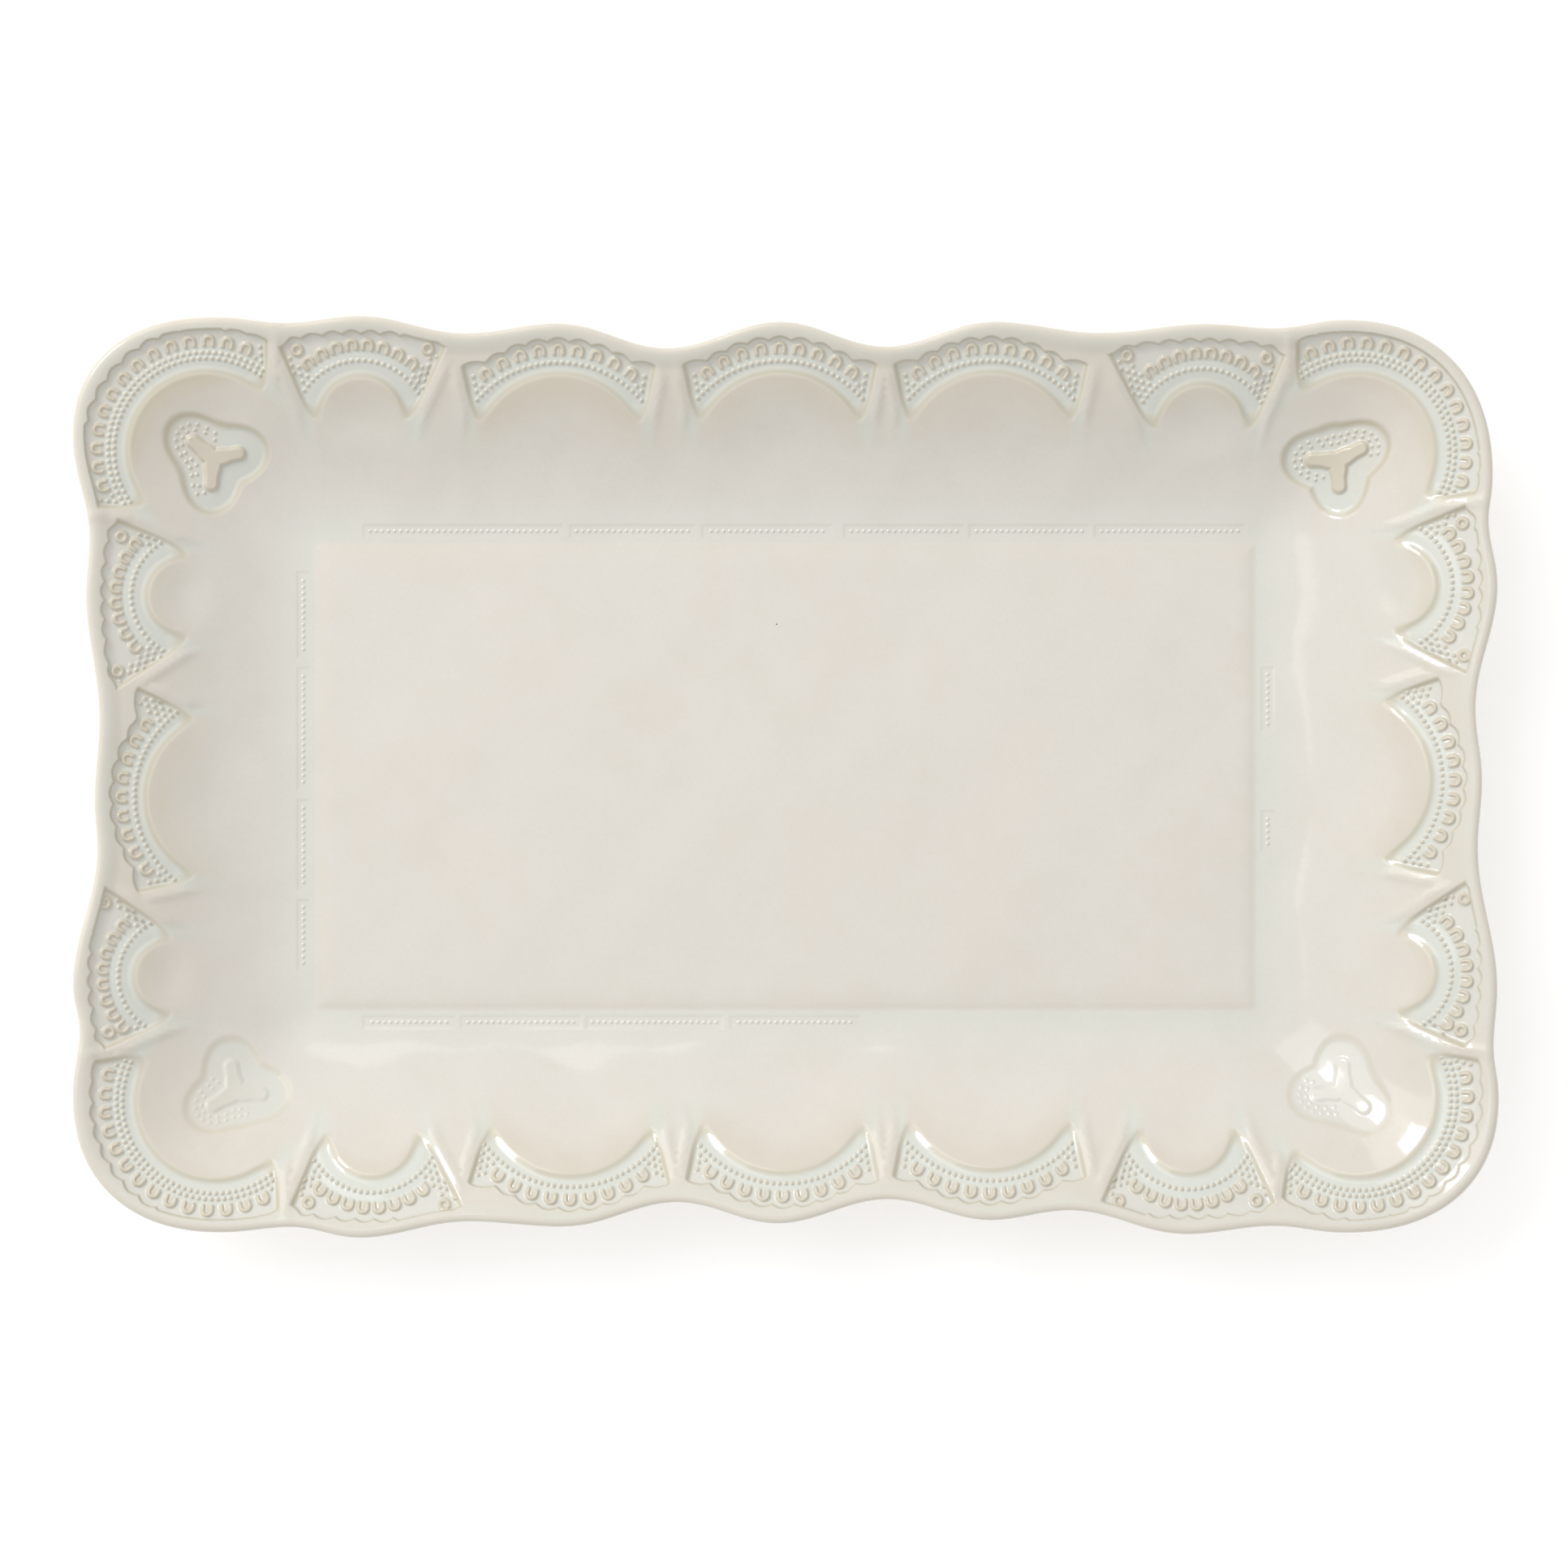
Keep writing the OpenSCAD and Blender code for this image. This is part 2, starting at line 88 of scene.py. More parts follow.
# Lengths below are in millimetres and angles in degrees.
LIP_CREST = 2.6  # from the lip's edge in to the top of its roll
LIP_FADE = 5.0  # from the top of the roll in to the plain wall
LIP_CLEAR = 3.6  # from the lip's edge in to the nearest relief
LIP_FAR = 14.0  # distances from the lip's edge are measured up to here
LIP_HALF_H = 2.5  # half the height of the roll
POCKET = 3.6  # depth of the pocket in the body under each panel
WALL_FLARE = 1.3  # how much the wall flattens again towards the lip
PEAK_H = 41.0  # height of the lip at a peak of a long side
FOOT_OUT = 2.0  # from the floor's edge out to the foot ring's outer side
FOOT_W = 7.0  # width of the foot ring
FOOT_CORNER = 14.0  # rounding of the foot ring's outer corners
BEAD_PITCH = 1.95  # spacing of the beads along a strip
FAN_BEAD_PITCH = 2.0  # spacing of the beads along a fan's rows
CLUSTER_PITCH, CLUSTER_ROW = 2.2, 1.9  # spacing of the beads clustered in a fan's ends, along and across
CHEEK_CLEAR, EDGE_CLEAR = 1.7, 2.0  # from a fan's cheek and from its outer edge in to the nearest bead
LOOP_R, LOOP_LEG, LOOP_WIRE = 1.4, 1.1, 1.2  # a loop's radius, its straight part and its half thickness
RING_IN, RING_TURN, RING_CLEAR = 7.4, 5.5, 2.8  # a corner ring's place from its shoulder, and its room
BEAD_R = 1.05  # radius of a fan's bead
TREFOIL_R, TREFOIL_LOBE = 9.8, 5.8  # radius of a trefoil's notches, and its lobes' reach past them
LOBE_SPAN = 62.0  # half the angle that a lobe takes up
ARM_LENGTH, ARM_HALF_W = 8.0, 1.2

# Each kind of fan: depth from the arc to the outer edge, width beside the arc, angles of the shoulders
# and tips, where the soft edge of the lobe lies, and the rows of loops and beads out from the arc.
KINDS = {
    LARGE: dict(depth=11.0, cheek=0.0, shoulder_a=43.0, tip_a=59.0, arc_out=1.4, arc_oval=4.3,
                loops=9, loop_out=7.2, loop_spacing=6.0, bead_rows=(3.6,)),
    SMALL: dict(depth=14.5, cheek=11.0, shoulder_a=44.0, tip_a=80.0, arc_out=1.9, arc_oval=4.3,
                loops=8, loop_out=9.9, loop_spacing=4.9, bead_rows=(5.5,)),
    CORNER: dict(depth=11.5, arc_out=-1.2, arc_oval=0.0,
                 loops=14, loop_out=6.7, loop_spacing=5.9, bead_rows=(1.8, 3.6)),
}
TIP_OUT = 0.9  # a tip's radius beyond the arc
CORNER_ARC_R = 27.0
CORNER_SHOULDER_R = 39.5
CORNER_SIGNS = ((1, 1), (-1, 1), (-1, -1), (1, -1))
CORNER_INSETS = ((44, 42.5), (41.5, 42), (44, 42.5), (43.5, 43.5))  # of the corner arcs' centres

# How much further a fan's two ends (clockwise, anticlockwise) run along the rim than its plain slab.
LONGER = {"lace_left_1": (0.0, 6.0), "lace_left_2": (4.5, 0.0), "lace_left_3": (6.2, 0.0),
          "lace_right_1": (3.0, 0.0), "lace_right_2": (0.0, 2.3), "lace_right_3": (0.0, 6.0),
          "lace_bottom_1": (0.0, 3.7), "lace_bottom_2": (1.5, 1.0), "lace_bottom_5": (2.0, 1.3),
          "lace_top_1": (2.0, 0.0), "lace_top_5": (0.0, 4.0)}

# Each trefoil: its centre, the headings of its arms, the stretch of its rim with beads, and how deeply
# it is pressed.
TREFOILS = (
    dict(centre=(173.0, 99.0), arms=(28, 178, 274), beads=(10, 235), depth=1.3),
    dict(centre=(-179.2, 99.6), arms=(139, 12, 265), beads=(85, 255), depth=1.3),
    dict(centre=(-172.4, -98.7), arms=(100, 211, 355), beads=(150, 300), depth=0.5),
    dict(centre=(174.6, -98.3), arms=(90, 189, 321), beads=(165, 260), depth=0.4),
)

# Shares of thin and of pooled glaze, and for the odd lobes also painted shade.
LIP_THIN, WALL_THIN, FLOOR_EDGE_THIN, UNDER_THIN = 0.22, 0.28, 0.20, 0.35
# Painted shade: the odd lobes' shares are larger on lobes facing away from the light and smaller on lit
# ones.
LOBE_THIN, LOBE_THIN_AND_SHADE = 0.5, {"lace_corner_2": 1.0, "lace_corner_1": 0.7, "lace_top_2": 0.7,
                                 "lace_corner_4": 0.2}
LIP_POOL, FLOOR_EDGE_POOL, TIP_POOL = 0.35, 0.65, 0.75

# Painted shade: a dark brown laid where the thin share runs past 0.8, on the recesses' steep edges and the
# most shaded lobe.
PAINTED_SHADE_BROWN = (0.40, 0.345, 0.235, 1.0)
ROSY = (0.685, 0.635, 0.58, 1.0)
GRAIN = (0.52, 0.48, 0.41, 1.0)
PINHOLE = (0.10, 0.05, 0.03, 1.0)
CLAY_DARK = (0.55, 0.44, 0.33, 1.0)
CLAY_LIGHT = (0.74, 0.66, 0.56, 1.0)
WHITE = (1.0, 1.0, 1.0, 1.0)
FLOOR_WHITE = (0.97, 0.97, 0.97, 1.0)

# The stage, in metres, watts and degrees.
FLOOR_REACH = 6.0
FLOOR_GLOW = 0.25
AIR_STRENGTH = 0.76
LIGHT_AZIMUTH, LIGHT_ZENITH, LIGHT_DISTANCE = 137, 47, 3.0
LIGHTS = (("softbox", 0.75, 28.0), ("wide_key", 2.6, 30.0))  # name, width, power
SENSOR_MM, LENS_MM = 36.0, 218.4
CAMERA_SPOT = (-0.0005, -0.0023, 3.0)


# ------------------------------------------------------------------ sizes and colours


class PlatterSizes(bpy.types.PropertyGroup):
    """Sizes of the parts of the platter that the frame leaves plain"""

    wall: FloatProperty(
        name="Wall", description="Thickness of the wall", default=0.0055, unit="LENGTH")
    lip_rise: FloatProperty(
        name="Lip rise", description="Rise of the lip above the wall", default=0.0009, unit="LENGTH")
    lip_t: FloatProperty(
        name="Lip thickness", description="Thickness of the lip", default=0.0046, unit="LENGTH")
    floor_step: FloatProperty(
        name="Floor step", description="Rise of the floor's flat panel", default=0.0004, unit="LENGTH")
    recess: FloatProperty(
        name="Lace depth", description="Depth of the lace bands below the wall", default=0.0014,
        unit="LENGTH")
    loop_h: FloatProperty(
        name="Loop height", description="Height of the lace loops", default=0.0011, unit="LENGTH")
    bead_h: FloatProperty(
        name="Bead height", description="Height of the lace beads", default=0.0008, unit="LENGTH")
    scoop: FloatProperty(
        name="Scoop depth", description="Depth of the hollow inside each fan's arc", default=0.0014,
        unit="LENGTH")
    ridge: FloatProperty(
        name="Ridge height", description="Height of the ridges between the fans", default=0.0007,
        unit="LENGTH")
    relief_step: FloatProperty(
        name="Relief step", description="Spacing of the points of the relief", default=0.00027,
        unit="LENGTH")
    lip_stations: IntProperty(name="Lip stations", description="Points round the lip's edge", default=960)


class PlatterColours(bpy.types.PropertyGroup):
    """Colours of the glaze and of the bare clay"""

    cream: FloatVectorProperty(
        name="Cream", description="Glaze where it lies evenly", subtype="COLOR",
        default=(0.665, 0.635, 0.58))
    beige: FloatVectorProperty(
        name="Beige", description="Glaze where it breaks thin over an edge", subtype="COLOR",
        default=(0.56, 0.495, 0.35))
    milky: FloatVectorProperty(
        name="Milky", description="Glaze where it pools in a hollow", subtype="COLOR",
        default=(0.64, 0.658, 0.60))
    clay: FloatVectorProperty(
        name="Clay", description="Bare fired clay of the foot ring", subtype="COLOR",
        default=(0.66, 0.55, 0.43))


def size(name):
    """A size of the platter, in millimetres."""
    return getattr(bpy.context.scene.platter_sizes, name) / MM


def colour(name):
    """A colour of the platter, with full alpha."""
    return (*getattr(bpy.context.scene.platter_colours, name), 1.0)


# ------------------------------------------------------------------ the frame, in millimetres


def box_mm(node):
    """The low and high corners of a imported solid, in millimetres."""
    low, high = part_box(node)
    return np.array(low) / MM, np.array(high) / MM


@lru_cache
def plan():
    """The platter's driving dimensions, from the frame's own boxes."""
    low, high = np.array(CAD_BOX[0]) / MM, np.array(CAD_BOX[1]) / MM
    foot_low, foot_high = box_mm("foot_ring")
    length, width = high[0] - low[0], high[1] - low[1]
    floor_len, floor_wid = foot_high[:2] - foot_low[:2] - 2 * FOOT_OUT
    return {
        "length": length, "width": width,
        "floor_len": floor_len, "floor_wid": floor_wid,
        "end_run": (length - floor_len) / 2, "side_run": (width - floor_wid) / 2,
        "foot_h": foot_high[2], "floor_z": foot_high[2] + size("wall"),
        "slope_top": PEAK_H - size("lip_rise"),
    }


def smooth(value, low, high):
    """0 below low, 1 above high and a soft step between."""
    t = np.clip((value - low) / (high - low), 0.0, 1.0)
    return t * t * (3.0 - 2.0 * t)


# ------------------------------------------------------------------ the platter's surface


def wall_share(x, y):
    """How far up the wall a place is: 0 on the floor, 1 at the lip."""
    p = plan()
    dx = np.maximum(np.abs(x) - p["floor_len"] / 2, 0) / p["end_run"]
    dy = np.maximum(np.abs(y) - p["floor_wid"] / 2, 0) / p["side_run"]
    return np.cbrt(dx**3 + dy**3)


def slope_z(x, y):
    """Height of the plain floor and wall."""
    p = plan()
    t = np.minimum(wall_share(x, y), 1.1)
    return p["floor_z"] + (p["slope_top"] - p["floor_z"]) * ((1 + WALL_FLARE) * t**2 - WALL_FLARE * t**3)


def floor_gap(x, y):
    """Distance out from the floor's flat panel, negative on it."""
    p = plan()
    dx = np.abs(x) - p["floor_len"] / 2
    dy = np.abs(y) - p["floor_wid"] / 2
    return np.hypot(np.maximum(dx, 0), np.maximum(dy, 0)) + np.minimum(np.maximum(dx, dy), 0)


def handmade(x, y):
    """Slow waves left by the press and the kiln."""
    waves = ((0.16, 0.071, 0.035, 0.4), (0.13, -0.043, 0.088, 1.9), (0.08, 0.121, -0.066, 3.1),
             (0.05, 0.19, 0.15, 0.9), (0.04, -0.21, 0.17, 5.0))
    return sum(high * np.sin(x * along + y * across + turn) for high, along, across, turn in waves)


@lru_cache
def lip_edge():
    """Points evenly spaced round the lip's edge, and the unit directions in from it."""
    corners = np.array([v.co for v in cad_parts["platter_body"].data.vertices]) / MM
    drop = corners[:, 2] - slope_z(corners[:, 0], corners[:, 1]) + 0.4 * size("lip_t")
    ring = corners[np.abs(drop) < 0.25][:, :2]
    ring = ring[np.argsort(np.arctan2(ring[:, 1], ring[:, 0]))]
    ring = ring[np.hypot(*(ring - np.roll(ring, 1, axis=0)).T) > 0.2]
    points = closed_curve(ring, bpy.context.scene.platter_sizes.lip_stations)
    along = np.roll(points, -1, axis=0) - np.roll(points, 1, axis=0)
    inward = np.column_stack([-along[:, 1], along[:, 0]])
    return points, inward / np.linalg.norm(inward, axis=1)[:, None]


def closed_curve(ring, count):
    """A closed smooth curve through ring, at evenly spaced places."""
    step = np.linalg.norm(np.roll(ring, -1, axis=0) - ring, axis=1)
    n = len(ring)
    matrix = np.zeros((n, n))
    right = np.zeros((n, 2))
    for i in range(n):
        back, ahead = step[i - 1], step[i]
        matrix[i, i - 1] += back
        matrix[i, i] += 2 * (back + ahead)
        matrix[i, (i + 1) % n] += ahead
        right[i] = 6 * ((ring[(i + 1) % n] - ring[i]) / ahead - (ring[i] - ring[i - 1]) / back)
    bend = np.linalg.solve(matrix, right)
    start = np.concatenate([[0], np.cumsum(step)])
    place = np.arange(count) * start[-1] / count
    i = np.clip(np.searchsorted(start, place, side="right") - 1, 0, n - 1)
    h, a, b = step[i][:, None], (start[i + 1] - place)[:, None], (place - start[i])[:, None]
    p, q, bp, bq = ring[i], ring[(i + 1) % n], bend[i], bend[(i + 1) % n]
    return (bp * a**3 + bq * b**3) / (6 * h) + (p / h - bp * h / 6) * a + (q / h - bq * h / 6) * b


def lip_distance(x, y):
    """Distance in from the lip's edge, up to LIP_FAR."""
    edge = lip_edge()[0]
    spot = np.column_stack([np.ravel(x), np.ravel(y)])
    found = np.full(len(spot), LIP_FAR)
    near = np.flatnonzero(wall_share(spot[:, 0], spot[:, 1]) > 0.7)
    for block in np.array_split(near, max(1, len(near) // 2500)):
        here = spot[block]
        if len(here) == 0:
            continue
        low, high = here.min(0) - LIP_FAR, here.max(0) + LIP_FAR
        keep = np.flatnonzero(np.all((edge >= low) & (edge <= high), axis=1))
        if len(keep) == 0:
            continue
        gap = (here[:, None, 0] - edge[None, keep, 0])**2 + (here[:, None, 1] - edge[None, keep, 1])**2
        closest = keep[gap.argmin(1)]
        for back in (-1, 0):
            a, b = edge[closest + back], edge[(closest + back + 1) % len(edge)]
            run = b - a
            t = np.clip(np.sum((here - a) * run, 1) / np.sum(run * run, 1), 0, 1)
            gone = np.linalg.norm(here - a - run * t[:, None], axis=1)
            found[block] = np.minimum(found[block], gone)
    return found.reshape(np.shape(x))


def lip_bump(d):
    """Rise of the rolled lip above the wall, inward of its crest."""
    return size("lip_rise") * (1 - smooth(d, LIP_CREST, LIP_CREST + LIP_FADE))


def scoops(x, y):
    """Soft hollow inside each fan's arc."""
    total = np.zeros(np.shape(x))
    for fan in fans():
        dx, dy = x - fan["centre"][0], y - fan["centre"][1]
        turn = math.radians(fan["outward"])
        ahead = (dx * math.cos(turn) + dy * math.sin(turn)) / fan["arc_r"]
        r = np.hypot(dx, dy) / fan["arc_r"]
        deep = 1.5 if fan["kind"] == CORNER else 1.0
        total += deep * np.clip(1 - r**2, 0, 1)**2 * smooth(ahead, -0.5, 0.6)
    return size("scoop") * total


def ridges(x, y):
    """Low ridges left standing beside the ends of the side fans."""
    total = np.zeros(np.shape(x))
    for fan in fans():
        r, a = polar(fan, x, y)
        run = smooth(r, fan["arc_r"] + 0.5, fan["arc_r"] + 5)
        run = run * (1 - smooth(r, fan["outer_r"], fan["outer_r"] + 7))
        beside = np.exp(-((cheek_gap(fan, r, a) + 1.9) / 1.7)**2) * (np.abs(a) < 100)
        total = np.maximum(total, run * beside)
    return size("ridge") * total


def surface_z(x, y):
    """Height of the upper surface with its lip, before the relief is pressed in."""
    step = size("floor_step") * (1 - smooth(floor_gap(x, y), -1.2, 2.4))
    pressed = step - scoops(x, y) + ridges(x, y)
    return slope_z(x, y) + pressed + handmade(x, y) + lip_bump(lip_distance(x, y))


def surface_glaze(x, y):
    """How thin and how pooled the glaze lies on the plain surface; shaded lobes get painted shade."""
    gap = floor_gap(x, y)
    share = wall_share(x, y)
    lip = 1 - smooth(lip_distance(x, y), 2.5, 8.0)
    thin = np.maximum(LIP_THIN * lip, WALL_THIN * smooth(share, 0.35, 0.8))
    thin = np.maximum(thin, FLOOR_EDGE_THIN * np.exp(-((gap - 0.4) / 1.1)**2))
    pool = FLOOR_EDGE_POOL * smooth(gap, 0.5, 3.0) * (1 - smooth(gap, 5, 22)) + LIP_POOL * lip
    for fan in fans():
        r, a = polar(fan, x, y)
        ahead = r * np.cos(np.radians(a))
        lobe = smooth(r / fan["arc_r"], 0.45, 0.95) * (1 - smooth(r / fan["arc_r"], 1.05, 1.1))
        # Partly thin glaze, partly painted shade: the share is larger on lobes that face away from the
        # light.
        bare = LOBE_THIN_AND_SHADE.get(fan["name"], LOBE_THIN)
        thin = np.maximum(thin, bare * lobe * smooth(ahead / fan["arc_r"], 0.1, 0.7))
        for sign, end in zip((-1, 1), fan["ends"]):
            tip = spot_at(end.tip_r, end.tip_a)
            across = r * np.sin(np.radians(a)) - sign * tip[1]
            inner = tip[0] - ahead
            streak = bump(np.abs(across), 4.0) * smooth(inner, -7, 0) * (1 - smooth(inner, 2, 13))
            pool = np.maximum(pool, TIP_POOL * streak)
    return thin, pool


def tilt(height, x, y, reach=0.05):
    """Unit normals of a height function."""
    dx = (height(x + reach, y) - height(x - reach, y)) / (2 * reach)
    dy = (height(x, y + reach) - height(x, y - reach)) / (2 * reach)
    normal = np.column_stack([-np.ravel(dx), -np.ravel(dy), np.ones(np.size(x))])
    return normal / np.linalg.norm(normal, axis=1)[:, None]


# ------------------------------------------------------------------ the pressed relief


End = namedtuple("End", "shoulder_r shoulder_a tip_r tip_a")


@lru_cache
def fans():
    """Every lace fan: its arc, its outer edge, its ends and its rows of loops and beads."""
    sides = [side_fan(side, number, kind) for side, kinds in SIDE_FANS.items()
             for number, kind in enumerate(kinds, 1)]
    return sides + [corner_fan(quarter) for quarter in range(4)]


def side_fan(side, number, kind):
    """A fan along a side, from the box of its plain slab."""
    name = f"lace_{side}_{number}"
    shape = KINDS[kind]
    low, high = box_mm(name)
    across = 0 if side in ("top", "bottom") else 1
    half_w = (high[across] - low[across]) / 2
    arc_r = half_w - shape["cheek"]
    outer_r = arc_r + shape["depth"]
    centre = (low[:2] + high[:2]) / 2
    if side in ("top", "right"):
        centre[1 - across] = high[1 - across] - outer_r
    else:
        centre[1 - across] = low[1 - across] + outer_r
    ahead = half_w / math.tan(math.radians(shape["shoulder_a"]))
    ends = []
    for longer in LONGER.get(name, (0.0, 0.0)):
        along = half_w + longer
        ends.append(End(math.hypot(ahead, along), math.degrees(math.atan2(along, ahead)),
                        arc_r + TIP_OUT, shape["tip_a"]))
    return dict(shape, name=name, kind=kind, centre=centre, outward=OUTWARD[side], arc_r=arc_r,
                outer_r=outer_r, ends=tuple(ends))


def corner_fan(quarter):
    """The fan round a corner, which ends a ridge short of the next fans on both sides."""
    sx, sy = CORNER_SIGNS[quarter]
    inset_x, inset_y = CORNER_INSETS[quarter]
    centre = np.array([sx * (plan()["length"] / 2 - inset_x), sy * (plan()["width"] / 2 - inset_y)])
    long_fan = ("top" if sy > 0 else "bottom") + ("_5" if sx > 0 else "_1")
    short_fan = ("right" if sx > 0 else "left") + ("_1" if sy > 0 else "_3")
    to_long = corner_end(abs(centre[0]), np.abs(np.array(box_mm("lace_" + long_fan))[:, 0]).max())
    to_short = corner_end(abs(centre[1]), np.abs(np.array(box_mm("lace_" + short_fan))[:, 1]).max())
    ends = (to_short, to_long) if quarter % 2 == 0 else (to_long, to_short)
    return dict(KINDS[CORNER], name=f"lace_corner_{quarter + 1}", kind=CORNER, centre=centre,
                outward=45 + 90 * quarter, arc_r=CORNER_ARC_R,
                outer_r=CORNER_ARC_R + KINDS[CORNER]["depth"], ends=ends)


def corner_end(centre_u, next_end, ridge=1.0, tip_turn=14):
    """One end of a corner fan."""
    turn = math.degrees(math.asin((centre_u - next_end - ridge) / CORNER_SHOULDER_R))
    return End(CORNER_SHOULDER_R, 45 + turn, CORNER_ARC_R + TIP_OUT, 45 + turn + tip_turn)


def spot_at(r, a):
    """The point at a radius and an angle."""
    return np.array([r * math.cos(math.radians(a)), r * math.sin(math.radians(a))])


def cheek_line(end):
    """Where a fan's cheek starts, at its shoulder, and the unit direction along it to the tip."""
    shoulder = spot_at(end.shoulder_r, end.shoulder_a)
    run = spot_at(end.tip_r, end.tip_a) - shoulder
    return shoulder, run / np.linalg.norm(run)


def polar(fan, x, y):
    """Radius and signed angle from the fan's outward line."""
    dx, dy = x - fan["centre"][0], y - fan["centre"][1]
    a = np.degrees(np.arctan2(dy, dx)) - fan["outward"]
    return np.hypot(dx, dy), (a + 180) % 360 - 180


def arc_edge(fan, a):
    """Radius of the soft shoulder between the fan and the lobe inside it."""
    return fan["arc_r"] + fan["arc_out"] - fan["arc_oval"] * (1 - np.cos(np.radians(a)))


def outer_edge(fan, a, scallop_h=1.1):
    """Radius of the fan's outer edge within its shoulders."""
    low, high = fan["ends"]
    shoulder_r = np.where(a < 0, low.shoulder_r, high.shoulder_r)
    shoulder_a = np.where(a < 0, low.shoulder_a, high.shoulder_a)
    share = np.abs(a) / shoulder_a
    up = smooth(share, 0.72, 1.0)
    pitch = (low.shoulder_a + high.shoulder_a) / fan["loops"]
    middle = (high.shoulder_a - low.shoulder_a) / 2
    shift = 90 if fan["loops"] % 2 == 0 else 0
    wave = 1 - np.abs(np.cos(np.radians(180 * (a - middle) / pitch + shift)))
    crown = fan["outer_r"] + 0.4
    if fan["kind"] == SMALL:
        drop = crown - shoulder_r * np.cos(np.radians(shoulder_a))
        plain = (crown - drop * share**2) / np.cos(np.radians(np.minimum(np.abs(a), 60)))
        plain -= 3.0 * smooth(share, 0.8, 1.02)
    else:
        plain = crown + (shoulder_r - crown) * up
    return plain - scallop_h * (1 - up) * wave


def cheek_gap(fan, r, a):
    """Distance in from the straight line between the nearer shoulder and its tip."""
    gap = np.empty(np.shape(a))
    for end, chosen in zip(fan["ends"], (a < 0, a >= 0)):
        shoulder, run = cheek_line(end)
        v = r * np.cos(np.radians(a)) - shoulder[0]
        w = r * np.sin(np.radians(np.abs(a))) - shoulder[1]
        gap = np.where(chosen, run[0] * w - run[1] * v, gap)
    return gap


def bump(gap, reach):
    """A round dome: 1 at gap 0 and 0 beyond reach."""
    return np.cos(np.clip(gap / reach, 0, 1) * math.pi / 2)**2


@lru_cache
def fan_beads(name):
    """Places (radius, angle) of a fan's beads."""
    fan = next(f for f in fans() if f["name"] == name)
    beads = []
    low, high = -fan["ends"][0].tip_a, fan["ends"][1].tip_a
    for row, out in enumerate(fan["bead_rows"]):
        r = fan["arc_r"] + out
        step = math.degrees(FAN_BEAD_PITCH / r)
        angles = np.arange(low, high, step) + step * (0.5 if row % 2 else 0.25)
        beads += [(r, a) for a in angles]
    loops_end = fan["loops"] * loop_pitch(fan) / 2
    middle = loops_middle(fan)
    cluster = fan["bead_rows"][-1] + FAN_BEAD_PITCH
    for row in range(8):
        r = fan["arc_r"] + cluster + CLUSTER_ROW * row
        step = math.degrees(CLUSTER_PITCH / r)
        for sign, limit in ((-1, -low), (1, high)):
            first_a = loops_end + sign * middle + 0.3 * step
            angles = np.arange(first_a, limit, step) + (row % 2) * step / 2
            beads += [(r, sign * a) for a in angles]
    r, a = np.array(beads).T
    kept = (cheek_gap(fan, r, a) > CHEEK_CLEAR) & (outer_edge(fan, a) - r > EDGE_CLEAR)
    for ring_r, ring_a in corner_rings(fan):
        kept &= r**2 + ring_r**2 - 2 * r * ring_r * np.cos(np.radians(ring_a - a)) > RING_CLEAR**2
    return r[kept], a[kept]


def corner_rings(fan):
    """Centres (radius, angle) of the rings in the outer corners of a small fan."""
    if fan["kind"] != SMALL:
        return []
    return [(end.shoulder_r - RING_IN, sign * (end.shoulder_a - RING_TURN))
            for sign, end in zip((-1, 1), fan["ends"])]


def loop_pitch(fan):
    """Angle between two loops."""
    return math.degrees(fan["loop_spacing"] / (fan["arc_r"] + fan["loop_out"]))


def loops_middle(fan):
    """Angle of the middle of the row of loops."""
    low, high = fan["ends"]
    return (high.shoulder_a - low.shoulder_a) / 2 if fan["kind"] == CORNER else 0


